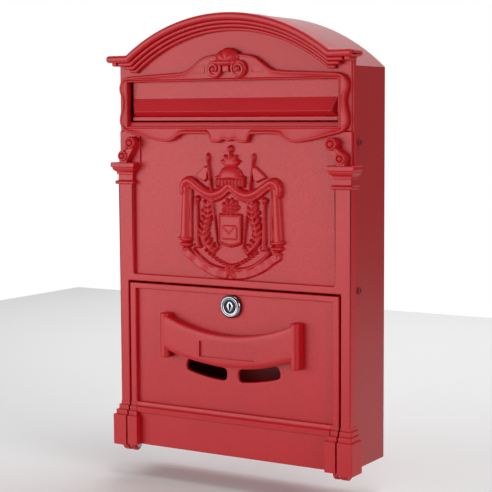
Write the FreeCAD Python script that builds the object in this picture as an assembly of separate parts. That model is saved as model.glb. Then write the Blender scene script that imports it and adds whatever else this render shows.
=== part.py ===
import FreeCAD, Part
import math
import os

# Wall mailbox: a cast aluminium front with a drop-down door and a lift-up letter flap,
# screwed to a bent sheet-steel case. All lengths are in millimetres.
#
# While it is modelled, X runs to the right, Y back from the face of the plinth blocks to the
# wall, and Z up from the foot of the plinth. Saving moves every piece to the part's own
# frame, whose origin is the centre of the four wall-screw holes on the back face.

# ---- driving sizes -------------------------------------------------------------------------
BODY_WIDTH = 250.0            # across the sides of the casting
CASE_DEPTH = 76.5             # plinth face to wall
EAVES_HEIGHT = 374.0          # top of the straight cornice ends
ARCH_RISE = 36.0              # apex of the arch above the eaves
SLOT_HEIGHT = 41.5
DOOR_HEIGHT = 157.0

# ---- casting -------------------------------------------------------------------------------
CAST_WALL = 3.0
CASTING_BACK = 16.5           # depth of the casting's rear edge
BLOCK_REACH = 3.0             # plinth, capital and cornice ends behind that edge, outside the case
PILASTER_FACE = 7.0
FIELD_FACE = 10.4             # plain ground above the slot
PANEL_FACE = 11.0             # recessed ground of the centre panel and of the door
SLOT_PLATE_FACE = 5.0
CORNICE_FACE = -4.0
PILASTER_WIDTH = 16.3
SLOT_SIDE_MARGIN = 12.2       # body side to slot
SLOT_BELOW_EAVES = 25.0       # top of the slot below the eaves
BLOCK_OVERHANG = 5.0          # plinth beyond the body side
FACE_SLOPE = 1.4              # setback of a plinth step's face for each mm of its side
DOOR_SIDE_MARGIN = 11.8       # body side to door
RAIL_HEIGHT = 6.8             # rail between the door and the centre panel
KINK_INSET = 17.0             # body side to the kink where the arch turns level
CORNICE_BANDS = [             # (height of the band, face depth, reach beyond the kink)
    (6.3, -4.0, 23.0),
    (3.4, 0.0, 12.0),
    (3.2, 3.0, 7.0),
    (3.1, 6.0, 2.0),
]
CORNICE_NOSE_REACH = 6.0      # cornice end beyond the body side
PLINTH_FACE_WALL = 4.0
PLINTH_SIDE_WALL = 9.0        # thick enough to stay clear of the case's side
PLINTH_HOLLOW_LOW = 11.0
PLINTH_STEPS = [              # (bottom, top, inset from the block)
    (0.0, 29.5, 0.0),
    (29.5, 34.0, 1.7),
    (34.0, 38.7, 3.4),
    (38.7, 42.3, 5.0),
]
CAPITAL_BELOW_SLOT = 34.1     # top of the capital below the slot
CAPITAL_STEPS = [             # (bottom and top below the capital's top, overhang)
    (20.9, 17.4, 2.2),
    (11.6, 9.0, 1.0),
    (9.0, 4.7, 4.0),
    (4.7, 0.0, 5.2),
]
CAPITAL_FACE_SLOPE = 1.15     # reach of a capital step's face for each mm of its overhang
SCROLLS = [                   # (distance inside the body side, height above the capital, radius)
    (17.2, 19.1, 5.2),
    (9.0, 7.6, 4.8),
]
SCROLL_FACE = 0.5
SCROLL_WEB_SETBACK = 1.5
SCROLL_GROUND_RISE = 1.5      # pad under the scrolls, in front of the plain ground
SCROLL_GROUND_DROP = 4.0      # top of that pad below the slot
# Right half of the slot plate's edge, from the top middle to the foot middle. A step with four
# numbers is an arc, whose middle comes first.
SLOT_PLATE_HUMP = [           # (x, height above the slot)
    (0.0, 24.0), (20.0, 24.0), (31.0, 20.4, 39.0, 15.0),
]
SLOT_PLATE_SIDE = [           # (beyond the slot's side, height as a share of half the slot's)
    (-64.0, 1.448), (-3.0, 1.280), (5.2, 1.173, 7.0, 0.894), (7.0, 0.434),
    (4.8, 0.0, 7.0, -0.434), (7.0, -0.865), (4.8, -1.183, -2.0, -1.299),
    (-44.0, -1.699), (-52.0, -1.636), (-62.0, -1.347),
]
SLOT_PLATE_FOOT = [(26.0, -1.347), (22.0, -1.708)]  # (x, the same share)
CREST_OUTLINE = [             # right half: (share of its half width, height) up from the foot
    (0.0, 0.0), (0.62, 14.0), (1.0, 40.0), (1.0, 70.0), (0.62, 87.0), (0.32, 104.0),
]
CREST_HALF_WIDTH = 38.0
CREST_ABOVE_RAIL = 9.5
CREST_RELIEF = 1.6
CREST_FRAME = 6.0             # plain frame round the panel's recess, at its sides
CREST_TOP_FRAME = 16.0        # the same, below the slot

# ---- steel case ----------------------------------------------------------------------------
SHEET = 1.0
CASE_INSET = 1.5              # case side inside the casting side
CASE_TOP_INSET = 0.5          # roof inside the casting's arch
CASE_FLOOR_RISE = 2.0         # underside of the case above the foot of the plinth
JOINT_GAP = 0.1               # face clearance between pieces that are fastened together
OVERLAP = 1.0                 # depth to which features are sunk into each other before fusing
TONGUE_WALL = 2.5
TONGUE_REACH = 13.0           # casting tongue inside the case
BACK_FLANGE = 10.0
FLOOR_FLANGE = 9.0
WALL_SCREW_SPACING_X = 150.0
WALL_SCREW_SPACING_Z = 250.0
WALL_SCREW_HOLE_RADIUS = 3.25
WALL_SCREW_CENTRE_HEIGHT = 205.0
BACK_PANEL_CLEAR = 1.0        # bottom plate's side flanges in front of the back panel's flange
FLOOR_FRONT_SETBACK = 2.5     # bottom plate behind the casting's rear edge
FLOOR_FRONT_FLANGE = 3.0
FLOOR_CORNER_NOTCH = 4.0      # end flanges inside the sides

# ---- side screws ---------------------------------------------------------------------------
SIDE_SCREWS_BELOW_EAVES = (211.5, 80.5)
SIDE_SCREW_RADIUS = 2.0
SIDE_SCREW_HEAD_RADIUS = 3.4
SIDE_SCREW_HEAD_HEIGHT = 1.5
SIDE_SCREW_HEAD_ROUND = 0.7
SIDE_SCREW_CROSS = (3.8, 0.8)  # length and width of the cross recess
SIDE_SCREW_HOLE_CLEARANCE = 0.3
SIDE_SCREW_REACH = 6.0        # shank inside the tongue
SIDE_SCREW_SETBACK = 9.0      # screw axis behind the casting's rear edge

# ---- letter flap ---------------------------------------------------------------------------
FLAP_SIDE_GAP = 2.8
FLAP_THICKNESS = 2.0
FLAP_SETBACK = 1.6            # flap face behind the back of the slot wall
FLAP_STOP_WIDTH = 8.0
FLAP_STOP_THICKNESS = 1.6
FLAP_STOP_INSET = 6.0         # stop inside the end of the flap
FLAP_STOP_ROOT = 6.0          # its foot below the slot
FLAP_STOP_CLEAR = 1.5         # its foot below the flap
FLAP_STOP_LAP = 4.0           # its finger up the back of the flap
FLAP_ROOM = 3.0               # room beyond the slot behind it, at the sides
FLAP_ROOM_ABOVE = 1.5         # the same, above the knuckles
SOFFIT_ROOM_SIDE = 0.8        # room beside the flap in front of the rod
SLOT_WALL_BACK = 10.4         # depth where the slot's side walls end
SOFFIT_THICKNESS = 3.0        # slot plate above the slot, thin so that the flap can lift
ROD_ABOVE_SLOT = 2.6
FLAP_LAP = 1.0                # flap bottom above the sill's inner edge
SILL_RISE = 4.0
LIP_TOP_BELOW_SLOT = 15.5
LIP_HEIGHT = 12.6
LIP_REACH = 4.6
LIP_END_INSET = 5.0
ROD_RADIUS = 1.5
KNUCKLE_WALL = 1.6
KNUCKLE_LENGTH = 14.0
KNUCKLE_END_INSET = 3.0       # flap knuckle inside the end of the flap
ROD_BEARING_WIDTH = 3.0
CLIP_THICKNESS = 0.8
CLIP_RADIUS = 2.5
CLIP_GAP = 0.05               # clip beside its bearing
ROD_END_PAST_CLIP = 0.6
BEARING_SIDE_GAP = 1.0        # bearing beside the flap
RUNNING_CLEARANCE = 0.05      # radial, for every pin and rod that turns

# ---- door ----------------------------------------------------------------------------------
DOOR_GAP = 1.8                # visible gap beside and above the door
DOOR_FOOT = 1.4               # door's lower edge above the foot of the plinth
DOOR_RIM = 6.5
DOOR_TOP_RIM = 5.5
DOOR_PANEL_BOTTOM = 43.0
DOOR_BLOCK_WIDTH = 11.0
LEDGE_TOP = 37.6
LEDGE_BOTTOM = 32.4
LEDGE_FACE = 4.5
DOOR_PANEL_WALL = 3.0

# ---- hood and peep slots -------------------------------------------------------------------
HOOD_HALF_WIDTH = 75.5
HOOD_REACH = 11.0             # band in front of the door panel
HOOD_WALL = 2.5
HOOD_WALL_AT_ENDS = 1.4       # wall along the top at its ends, in wall thicknesses
HOOD_POST_WIDTH = 9.6
HOOD_BELOW_DOOR_TOP = 26.4    # top of the posts below the door's upper edge
HOOD_POST_LENGTH = 42.5
HOOD_TOP_END_DROP = 1.5       # the next heights are below the top of the posts
HOOD_TOP_MIDDLE_DROP = 16.5
HOOD_BOTTOM_END_DROP = 33.0
HOOD_BOTTOM_MIDDLE_DROP = 45.5
LABEL_WIDTH = 60.0
LABEL_HEIGHT = 14.8
LABEL_CENTRE_DROP = 30.5
LABEL_DEPTH = 1.5
PEEP_INNER_X = 5.5
PEEP_OUTER_X = 49.0
PEEP_HEIGHT = 11.5
PEEP_BOTTOM_RADIUS = 180.0
PEEP_BOTTOM_DROP = 60.5       # lowest point of the slots' arc below the top of the posts
PEEP_CORNER = 4.0

# ---- door hinge ----------------------------------------------------------------------------
HINGE_DEPTH = 11.0
HINGE_HEIGHT = 0.0
HINGE_PIN_RADIUS = 2.0
HINGE_EAR_RADIUS = 6.2
HINGE_EAR_FRONT = 4.0         # depth where the ear's root begins
HINGE_EAR_RISE = 8.0          # root inside the plinth
DOOR_EAR_LENGTH = 5.0
CASTING_EAR_LENGTH = 7.5
PIN_HEAD_RADIUS = 3.4
PIN_HEAD_THICKNESS = 1.2
PIN_HEAD_CLEARANCE = 0.4      # radial
PIN_HEAD_ROOM = 2.0           # beyond the head, along the pin
HINGE_WASHER_GAP = 0.1        # side play at each face of the hinge washer
HINGE_WASHER_RADIUS = 4.5

# ---- cam lock ------------------------------------------------------------------------------
LOCK_BELOW_DOOR_TOP = 16.4
LOCK_HEAD_RADIUS = 10.8
LOCK_HEAD_LENGTH = 4.2
LOCK_HEAD_CHAMFER = 1.2
LOCK_BARREL_RADIUS = 8.0
LOCK_BARREL_FLAT = 6.8        # half distance across the barrel's flats
LOCK_BARREL_LENGTH = 13.0     # behind the door panel's face
LOCK_HOLE_CLEARANCE = 0.1
PLUG_RADIUS = 5.0
PLUG_HEAD_RADIUS = 6.6
PLUG_HEAD_LENGTH = 2.0
PLUG_FACE_DEPTH = 0.4         # plug face below the rim of the lock
PLUG_TAIL_LENGTH = 5.2
PLUG_TAIL_HALF = 3.0
KEYWAY_WIDTH = 1.4
KEYWAY_HEIGHT = 6.0
KEYWAY_DEPTH = 13.0
WAFER_COUNT = 5
WAFER_THICKNESS = 0.7
WAFER_PITCH = 1.9
WAFER_WIDTH = 5.0
WAFER_FIRST_DEPTH = 3.4       # first wafer behind the plug face
WAFER_CLEARANCE = 0.1
WAFER_LOW_INSET = 1.0         # wafer foot above the plug's lowest line
WAFER_HIGH_INSET = 0.8        # wafer top below the plug's highest line
WAFER_WINDOW_HALF = 1.5
WAFER_WINDOW_FOOT = 1.4       # window foot above the wafer foot
WAFER_WINDOW_HEAD = 1.8       # window head below the wafer top
WAFER_WINDOW_STEP = 0.4       # window rise from one wafer to the next
WAFER_SLOT_FOOT = 0.7         # slot foot above the plug's lowest line
LOCK_NUT_ACROSS_FLATS = 22.0
LOCK_NUT_THICKNESS = 3.5
CAM_THICKNESS = 2.0
CAM_LENGTH = 32.0
CAM_WIDTH = 14.0
STOP_WASHER_THICKNESS = 1.2
STOP_WASHER_GAP = 0.2         # washer behind the barrel
STOP_WASHER_RADIUS = 7.6
STOP_NOTCH_RADIUS = 5.95
STOP_TURN = 90.0              # quarter turn between the two ends of the stop washer's notch
STOP_LUG_HALF_WIDTH = 1.2
STOP_LUG_CLEARANCE = 0.15     # radial, over the washer's notch
STOP_LUG_MARGIN = 12.0        # half the lug and its clearance, as an angle
TAIL_CLEARANCE = 0.05
CAM_SCREW_RADIUS = 1.5
CAM_SCREW_HEAD_RADIUS = 3.2
CAM_SCREW_HEAD_LENGTH = 2.0
CAM_SCREW_END_GAP = 0.8       # screw end to the end of its tapped hole
CAM_SCREW_CROSS_HALF = 1.8    # half length of the cross recess
CAM_SCREW_CROSS_WIDTH = 0.7
CAM_SCREW_CROSS_FLOOR = 0.8   # recess floor above the washer
CAM_SCREW_WASHER_RIM = 1.4    # washer beyond the screw head
CAM_SCREW_WASHER_PLAY = 0.1
CAM_TIP_TAPER = 2.0           # end of the cam's straight edge before its tip
CAM_SCREW_LENGTH = 6.0
CAM_SCREW_WASHER_THICKNESS = 0.6

# ---- sizes worked out from the above -------------------------------------------------------
BODY_HALF = BODY_WIDTH / 2
BLOCK_HALF = BODY_HALF + BLOCK_OVERHANG
APEX_HEIGHT = EAVES_HEIGHT + ARCH_RISE
SLOT_HALF = BODY_HALF - SLOT_SIDE_MARGIN
SLOT_WIDTH = 2 * SLOT_HALF
SLOT_TOP = EAVES_HEIGHT - SLOT_BELOW_EAVES
SLOT_BOTTOM = SLOT_TOP - SLOT_HEIGHT
CAPITAL_TOP = SLOT_BOTTOM - CAPITAL_BELOW_SLOT
KINK_HALF_WIDTH = BODY_HALF - KINK_INSET
DOOR_TOP = DOOR_FOOT + DOOR_HEIGHT
DOOR_HALF = BODY_HALF - DOOR_SIDE_MARGIN
OPENING_HALF = DOOR_HALF + DOOR_GAP
OPENING_TOP = DOOR_TOP + DOOR_GAP
PANEL_BACK = PANEL_FACE + CAST_WALL
PANEL_BOTTOM = OPENING_TOP + RAIL_HEIGHT
PANEL_HALF_WIDTH = BODY_HALF - PILASTER_WIDTH
CREST_BOTTOM = PANEL_BOTTOM + CREST_ABOVE_RAIL
SLOT_MIDDLE = (SLOT_TOP + SLOT_BOTTOM) / 2
SIDE_SCREW_HEIGHTS = [EAVES_HEIGHT - drop for drop in SIDE_SCREWS_BELOW_EAVES]
LOCK_HEIGHT = DOOR_TOP - LOCK_BELOW_DOOR_TOP
HOOD_POST_TOP = DOOR_TOP - HOOD_BELOW_DOOR_TOP
HOOD_POST_BOTTOM = HOOD_POST_TOP - HOOD_POST_LENGTH
HOOD_TOP_END = HOOD_POST_TOP - HOOD_TOP_END_DROP
HOOD_TOP_MIDDLE = HOOD_POST_TOP - HOOD_TOP_MIDDLE_DROP
HOOD_BOTTOM_END = HOOD_POST_TOP - HOOD_BOTTOM_END_DROP
HOOD_BOTTOM_MIDDLE = HOOD_POST_TOP - HOOD_BOTTOM_MIDDLE_DROP
LABEL_CENTRE_HEIGHT = HOOD_POST_TOP - LABEL_CENTRE_DROP
PEEP_BOTTOM_MIDDLE = HOOD_POST_TOP - PEEP_BOTTOM_DROP
ARCH_RADIUS = (KINK_HALF_WIDTH ** 2 + ARCH_RISE ** 2) / (2 * ARCH_RISE)
ARCH_CENTRE = APEX_HEIGHT - ARCH_RADIUS
CASE_HALF = BODY_HALF - CASE_INSET
CASE_FRONT = CASTING_BACK + JOINT_GAP
CASE_RADIUS = ARCH_RADIUS - CASE_TOP_INSET
CASE_CLEAR_HALF = CASE_HALF + JOINT_GAP
BLOCK_BACK = CASTING_BACK + BLOCK_REACH
TONGUE_HALF = CASE_HALF - SHEET - JOINT_GAP
FLAP_FACE = SLOT_WALL_BACK + FLAP_SETBACK
FLAP_HALF = SLOT_HALF - FLAP_SIDE_GAP
ROD_DEPTH = FLAP_FACE + FLAP_THICKNESS / 2
ROD_HEIGHT = SLOT_TOP + ROD_ABOVE_SLOT
KNUCKLE_RADIUS = ROD_RADIUS + KNUCKLE_WALL
BEARING_INNER = FLAP_HALF + BEARING_SIDE_GAP
HINGE_WASHER_THICKNESS = DOOR_GAP - 2 * HINGE_WASHER_GAP
LOCK_FACE = PANEL_FACE - LOCK_HEAD_LENGTH
LOCK_BACK = PANEL_FACE + LOCK_BARREL_LENGTH
PLUG_FACE = LOCK_FACE + PLUG_FACE_DEPTH
DOOR_PANEL_BACK = PANEL_FACE + DOOR_PANEL_WALL
FRONT = CORNICE_FACE - 20.0


# ---- small builders ------------------------------------------------------------------------
def vec(x, y, z):
    return FreeCAD.Vector(x, y, z)


def box(x0, x1, y0, y1, z0, z1):
    """Block between two corners."""
    return Part.makeBox(x1 - x0, y1 - y0, z1 - z0, vec(x0, y0, z0))


def rod_x(radius, x0, x1, y, z):
    """Cylinder along X."""
    return Part.makeCylinder(radius, x1 - x0, vec(x0, y, z), vec(1, 0, 0))


def rod_y(radius, y0, y1, x, z):
    """Cylinder along Y."""
    return Part.makeCylinder(radius, y1 - y0, vec(x, y0, z), vec(0, 1, 0))


def mirrored(shape):
    """The same shape on the other side of the middle plane."""
    return shape.mirror(vec(0, 0, 0), vec(1, 0, 0))


def both_sides(shapes):
    """Each shape and its mirror image."""
    return shapes + [mirrored(shape) for shape in shapes]


def fused(shapes):
    """One solid from shapes that share volume."""
    return shapes[0].multiFuse(shapes[1:]).removeSplitter()


def plate(outline, y0, y1):
    """Plate between two depths. The outline starts at an (x, z) point and then holds
    (x, z) for a straight edge or (x_via, z_via, x, z) for an arc."""
    start = outline[0]
    edges = []
    here = start
    for step in outline[1:] + [start]:
        end = step[-2:]
        if len(step) == 4:
            via = vec(step[0], y0, step[1])
            arc = Part.Arc(vec(here[0], y0, here[1]), via, vec(end[0], y0, end[1]))
            edges.append(arc.toShape())
        elif math.dist(here, end) > 1e-6:
            edges.append(Part.makeLine(vec(here[0], y0, here[1]), vec(end[0], y0, end[1])))
        here = end
    return Part.Face(Part.Wire(edges)).extrude(vec(0, y1 - y0, 0))


def circle_height(radius, centre, x):
    """Height of a circle about (0, centre) at distance x from the middle."""
    return centre + math.sqrt(radius ** 2 - x ** 2)


def sagged_arc(half_width, end, middle):
    """(x_via, z_via) of the arc that passes the middle at x = 0."""
    return (0.0, middle, half_width, end)


def arched(half_width, bottom, radius, centre, y0, y1):
    """Plate with straight sides under one round arch."""
    eaves = circle_height(radius, centre, half_width)
    return plate([(-half_width, bottom), (-half_width, eaves),
                  (0.0, centre + radius, half_width, eaves), (half_width, bottom)], y0, y1)


# ---- front casting -------------------------------------------------------------------------
def body_outline(inset):
    """Front outline: straight sides, square shoulders and the arch between them. An inset of
    the outline lies that far inside it all round, and stays open at the foot."""
    side = BODY_HALF - inset
    shoulder = EAVES_HEIGHT - inset
    radius = ARCH_RADIUS - inset
    kink = math.sqrt(radius ** 2 - (shoulder - ARCH_CENTRE) ** 2)
    return [(-side, 0.0), (-side, shoulder), (-kink, shoulder),
            (0.0, ARCH_CENTRE + radius, kink, shoulder), (side, shoulder), (side, 0.0)]


def cornice():
    """Moulded arch: bands that follow the arch, kink, and run out level to each side."""
    parts = []
    drop = 0.0
    for height, face, reach in CORNICE_BANDS:
        outer = ARCH_RADIUS - drop
        inner = outer - height
        top = EAVES_HEIGHT - drop
        low = top - height
        outer_kink = math.sqrt(outer ** 2 - (top - ARCH_CENTRE) ** 2)
        inner_kink = math.sqrt(inner ** 2 - (low - ARCH_CENTRE) ** 2)
        end = KINK_HALF_WIDTH + reach
        nose = height / 2
        parts.append(plate([
            (-end + nose, top), (-outer_kink, top),
            (0.0, ARCH_CENTRE + outer, outer_kink, top), (end - nose, top),
            (end, top - nose, end - nose, low), (inner_kink, low),
            (0.0, ARCH_CENTRE + inner, -inner_kink, low), (-end + nose, low),
            (-end, top - nose, -end + nose, top)], face, PANEL_BACK))
        drop += height
    height = CORNICE_BANDS[0][0]
    low = EAVES_HEIGHT - height
    end = BODY_HALF + CORNICE_NOSE_REACH
    nose = end - height / 2
    returned = plate([(CASE_CLEAR_HALF, EAVES_HEIGHT), (nose, EAVES_HEIGHT),
                      (end, EAVES_HEIGHT - height / 2, nose, low), (CASE_CLEAR_HALF, low)],
                     CORNICE_FACE, BLOCK_BACK)
    return fused(parts + both_sides([returned]))


def reflected(path):
    """The path run backwards on the other side of the middle plane."""
    points = [(-path[-1][-2], path[-1][-1])]
    for step, before in zip(path[:0:-1], path[-2::-1]):
        via = (-step[0], step[1]) if len(step) == 4 else ()
        points.append(via + (-before[-2], before[-1]))
    return points


def slot_plate():
    """Raised plate round the letter slot, with a hump over its middle and a shaped foot."""
    def placed(path, x, z, scale):
        return [tuple(z + scale * value if place % 2 else x + value
                      for place, value in enumerate(step)) for step in path]

    right = (placed(SLOT_PLATE_HUMP, 0.0, SLOT_TOP, 1.0)
             + placed(SLOT_PLATE_SIDE, SLOT_HALF, SLOT_MIDDLE, SLOT_HEIGHT / 2)
             + placed(SLOT_PLATE_FOOT, 0.0, SLOT_MIDDLE, SLOT_HEIGHT / 2))
    return plate(right + reflected(right), SLOT_PLATE_FACE, PANEL_BACK)


def pilaster():
    """Right-hand pilaster above its plinth: shaft, capital, pad and the two scrolls on it."""
    shaft_inner = PANEL_HALF_WIDTH
    widest = CAPITAL_STEPS[-1][2]
    parts = [box(OPENING_HALF, BODY_HALF, PILASTER_FACE, PANEL_BACK, 0.0, PANEL_BOTTOM),
             box(shaft_inner, BODY_HALF, PILASTER_FACE, PANEL_BACK, OPENING_TOP, CAPITAL_TOP),
             box(shaft_inner - widest, BODY_HALF, FIELD_FACE - SCROLL_GROUND_RISE, PANEL_BACK,
                 CAPITAL_TOP, SLOT_BOTTOM - SCROLL_GROUND_DROP)]
    for below, above, overhang in CAPITAL_STEPS:
        low = CAPITAL_TOP - below
        high = CAPITAL_TOP - above
        parts.append(box(shaft_inner - overhang, BODY_HALF + overhang,
                         PILASTER_FACE - overhang * CAPITAL_FACE_SLOPE, PANEL_BACK, low, high))
        parts.append(box(CASE_CLEAR_HALF, BODY_HALF + overhang,
                         PANEL_BACK - OVERLAP, BLOCK_BACK, low, high))
    upper, lower = [(BODY_HALF - inside, CAPITAL_TOP + height, radius)
                    for inside, height, radius in SCROLLS]
    for x, z, radius in (upper, lower):
        parts.append(rod_y(radius, SCROLL_FACE, PANEL_BACK, x, z))
    web = plate([(upper[0], upper[1] - upper[2]), (lower[0] - lower[2], lower[1]),
                 (lower[0] - lower[2], CAPITAL_TOP), (lower[0] + lower[2], CAPITAL_TOP),
                 (lower[0] + lower[2], lower[1]), (lower[0], lower[1] + lower[2])],
                SCROLL_FACE + SCROLL_WEB_SETBACK, PANEL_BACK)
    return parts + [web]


def casting_ear():
    """Right-hand hinge ear below the plinth block."""
    x0 = OPENING_HALF
    x1 = OPENING_HALF + CASTING_EAR_LENGTH
    return fused([rod_x(HINGE_EAR_RADIUS, x0, x1, HINGE_DEPTH, HINGE_HEIGHT),
                  box(x0, x1, HINGE_EAR_FRONT, HINGE_DEPTH + HINGE_EAR_RADIUS, 0.0,
                      HINGE_EAR_RISE)])


def rod_bearing():
    """Right-hand bracket behind the slot that carries the end of the flap rod."""
    x0 = BEARING_INNER
    x1 = x0 + ROD_BEARING_WIDTH
    arm = fused([rod_x(KNUCKLE_RADIUS, x0, x1, ROD_DEPTH, ROD_HEIGHT),
                 box(x0, x1, SLOT_WALL_BACK - OVERLAP, ROD_DEPTH, ROD_HEIGHT - ROD_RADIUS,
                     ROD_HEIGHT + KNUCKLE_RADIUS)])
    return arm.cut(rod_x(ROD_RADIUS, x0 - 1, x1 + 1, ROD_DEPTH, ROD_HEIGHT))


def flap_stop():
    """Right-hand stop that keeps the foot of the closed flap from swinging inwards."""
    x1 = FLAP_HALF - FLAP_STOP_INSET
    x0 = x1 - FLAP_STOP_WIDTH
    y0 = FLAP_FACE + FLAP_THICKNESS + JOINT_GAP
    y1 = y0 + FLAP_STOP_THICKNESS
    flap_foot = SLOT_BOTTOM + SILL_RISE + FLAP_LAP
    return fused([box(x0, x1, PANEL_BACK - OVERLAP, y1, SLOT_BOTTOM - FLAP_STOP_ROOT,
                      flap_foot - FLAP_STOP_CLEAR),
                  box(x0, x1, y0, y1, flap_foot - 2 * FLAP_STOP_CLEAR, flap_foot + FLAP_STOP_LAP)])


def slot_back_room():
    """Room behind the slot plate for the flap, its knuckles and its swing."""
    high = ROD_HEIGHT + KNUCKLE_RADIUS + FLAP_ROOM_ABOVE
    half = SLOT_HALF + FLAP_ROOM
    behind = box(-half, half, SLOT_WALL_BACK, CASTING_BACK, SLOT_BOTTOM, high)
    half = FLAP_HALF + SOFFIT_ROOM_SIDE
    above = box(-half, half, SLOT_PLATE_FACE + SOFFIT_THICKNESS, CASTING_BACK,
                SLOT_TOP - OVERLAP, high)
    return [behind, above]


def crest_ground():
    """Low raised ground under the ornament: a shield over a ribbon."""
    right = [(share * CREST_HALF_WIDTH, CREST_BOTTOM + height) for share, height in CREST_OUTLINE]
    left = [(-x, z) for x, z in right[:0:-1]]
    return plate(right + left, PANEL_FACE - CREST_RELIEF, PANEL_FACE + OVERLAP)


def plinth_steps():
    """Right-hand plinth: a block and its steps, reaching back outside the case."""
    parts = []
    for low, high, inset in PLINTH_STEPS:
        face = inset * FACE_SLOPE
        parts.append(box(OPENING_HALF, BLOCK_HALF - inset, face, CASTING_BACK, low, high))
        parts.append(box(CASE_CLEAR_HALF, BLOCK_HALF - inset, face, BLOCK_BACK, low, high))
    return parts


def inside_of_casting():
    """Room behind the front wall, inside the casting's side walls and open at the foot."""
    outline = body_outline(CAST_WALL)
    foot = -CAST_WALL
    outline[0] = (outline[0][0], foot)
    outline[-1] = (outline[-1][0], foot)
    return plate(outline, PANEL_BACK, CASTING_BACK + CAST_WALL)


def front_casting():
    """Frame of the front: one hollow-backed casting with all its mouldings."""
    shell = plate(body_outline(0.0), FIELD_FACE, CASTING_BACK)
    tongue_radius = CASE_RADIUS - SHEET - JOINT_GAP
    tongue_foot = CASE_FLOOR_RISE + SHEET + FLOOR_FLANGE
    tongue = arched(TONGUE_HALF, tongue_foot, tongue_radius, ARCH_CENTRE,
                    PANEL_BACK - OVERLAP, CASTING_BACK + TONGUE_REACH)
    tongue_hollow = arched(TONGUE_HALF - TONGUE_WALL, tongue_foot - TONGUE_WALL,
                           tongue_radius - TONGUE_WALL, ARCH_CENTRE,
                           PANEL_BACK, CASTING_BACK + TONGUE_REACH + TONGUE_WALL)
    casting = fused([shell.cut(inside_of_casting()), tongue.cut(tongue_hollow), cornice(),
                     slot_plate()] + both_sides(pilaster() + plinth_steps()))
    rail = box(-BODY_HALF, BODY_HALF, PILASTER_FACE, PANEL_BACK, OPENING_TOP, PANEL_BOTTOM)
    casting = fused([casting, rail, crest_ground()])

    field = box(-PANEL_HALF_WIDTH + CREST_FRAME, PANEL_HALF_WIDTH - CREST_FRAME, FIELD_FACE,
                PANEL_FACE, PANEL_BOTTOM, SLOT_BOTTOM - CREST_TOP_FRAME)
    casting = casting.cut(field.cut(crest_ground()))
    casting = casting.cut(box(-OPENING_HALF, OPENING_HALF, FRONT, CASE_DEPTH, -20, OPENING_TOP))
    casting = casting.cut(slot_opening())
    for room in slot_back_room():
        casting = casting.cut(room)
    casting = fused([casting] + both_sides([casting_ear(), rod_bearing(), flap_stop()]))
    casting = casting.cut(rod_x(HINGE_PIN_RADIUS, -BODY_HALF, BODY_HALF, HINGE_DEPTH, HINGE_HEIGHT))
    for inner, outer, low, high in hollows_behind():
        pocket = box(inner, outer, PILASTER_FACE + CAST_WALL, PANEL_BACK + OVERLAP, low, high)
        casting = casting.cut(pocket).cut(mirrored(pocket))
    plinth_hollow = box(OPENING_HALF + CAST_WALL, BLOCK_HALF - PLINTH_SIDE_WALL,
                        PLINTH_FACE_WALL, CASTING_BACK + OVERLAP, PLINTH_HOLLOW_LOW,
                        PLINTH_STEPS[0][1] - CAST_WALL)
    casting = casting.cut(plinth_hollow).cut(mirrored(plinth_hollow))
    for height in SIDE_SCREW_HEIGHTS:
        casting = casting.cut(rod_x(SIDE_SCREW_RADIUS, -BLOCK_HALF, BLOCK_HALF,
                                    side_screw_depth(), height))
    return casting


def hollows_behind():
    """Pockets behind the pilasters, as (inner x, outer x, bottom, top)."""
    inner = PANEL_HALF_WIDTH + CAST_WALL
    outer = BODY_HALF - CAST_WALL
    shaft_top = CAPITAL_TOP - CAPITAL_STEPS[0][0]
    return [(inner, outer, PANEL_BOTTOM + CAST_WALL, shaft_top - CAST_WALL)]


def slot_opening():
    """Letter slot: straight through at the top, with a sill that rises inwards."""
    back = CASTING_BACK
    slope = SILL_RISE / (SLOT_WALL_BACK - SLOT_PLATE_FACE)
    sill = SLOT_BOTTOM + SILL_RISE
    drop = slope * (SLOT_PLATE_FACE - FRONT)
    side = Part.Face(Part.makePolygon([
        vec(-SLOT_HALF, FRONT, SLOT_BOTTOM - drop), vec(-SLOT_HALF, SLOT_WALL_BACK, sill),
        vec(-SLOT_HALF, back, sill), vec(-SLOT_HALF, back, SLOT_TOP),
        vec(-SLOT_HALF, FRONT, SLOT_TOP),
        vec(-SLOT_HALF, FRONT, SLOT_BOTTOM - drop)]))
    wedge = side.extrude(vec(SLOT_WIDTH, 0, 0))
    return wedge.common(box(-SLOT_HALF, SLOT_HALF, FRONT, back, SLOT_BOTTOM - 0.01, SLOT_TOP))


# ---- steel case ----------------------------------------------------------------------------
def case_shell():
    """Sides and roof, bent from one sheet, with holes for the side screws."""
    floor = CASE_FLOOR_RISE
    outer = arched(CASE_HALF, floor, CASE_RADIUS, ARCH_CENTRE, CASE_FRONT, CASE_DEPTH)
    inner = arched(CASE_HALF - SHEET, floor - 5, CASE_RADIUS - SHEET, ARCH_CENTRE,
                   CASE_FRONT - 1, CASE_DEPTH + 1)
    sheet = outer.cut(inner)
    for height in SIDE_SCREW_HEIGHTS:
        sheet = sheet.cut(rod_x(SIDE_SCREW_RADIUS + SIDE_SCREW_HOLE_CLEARANCE, -BODY_HALF, BODY_HALF,
                                side_screw_depth(), height))
    return sheet


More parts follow.
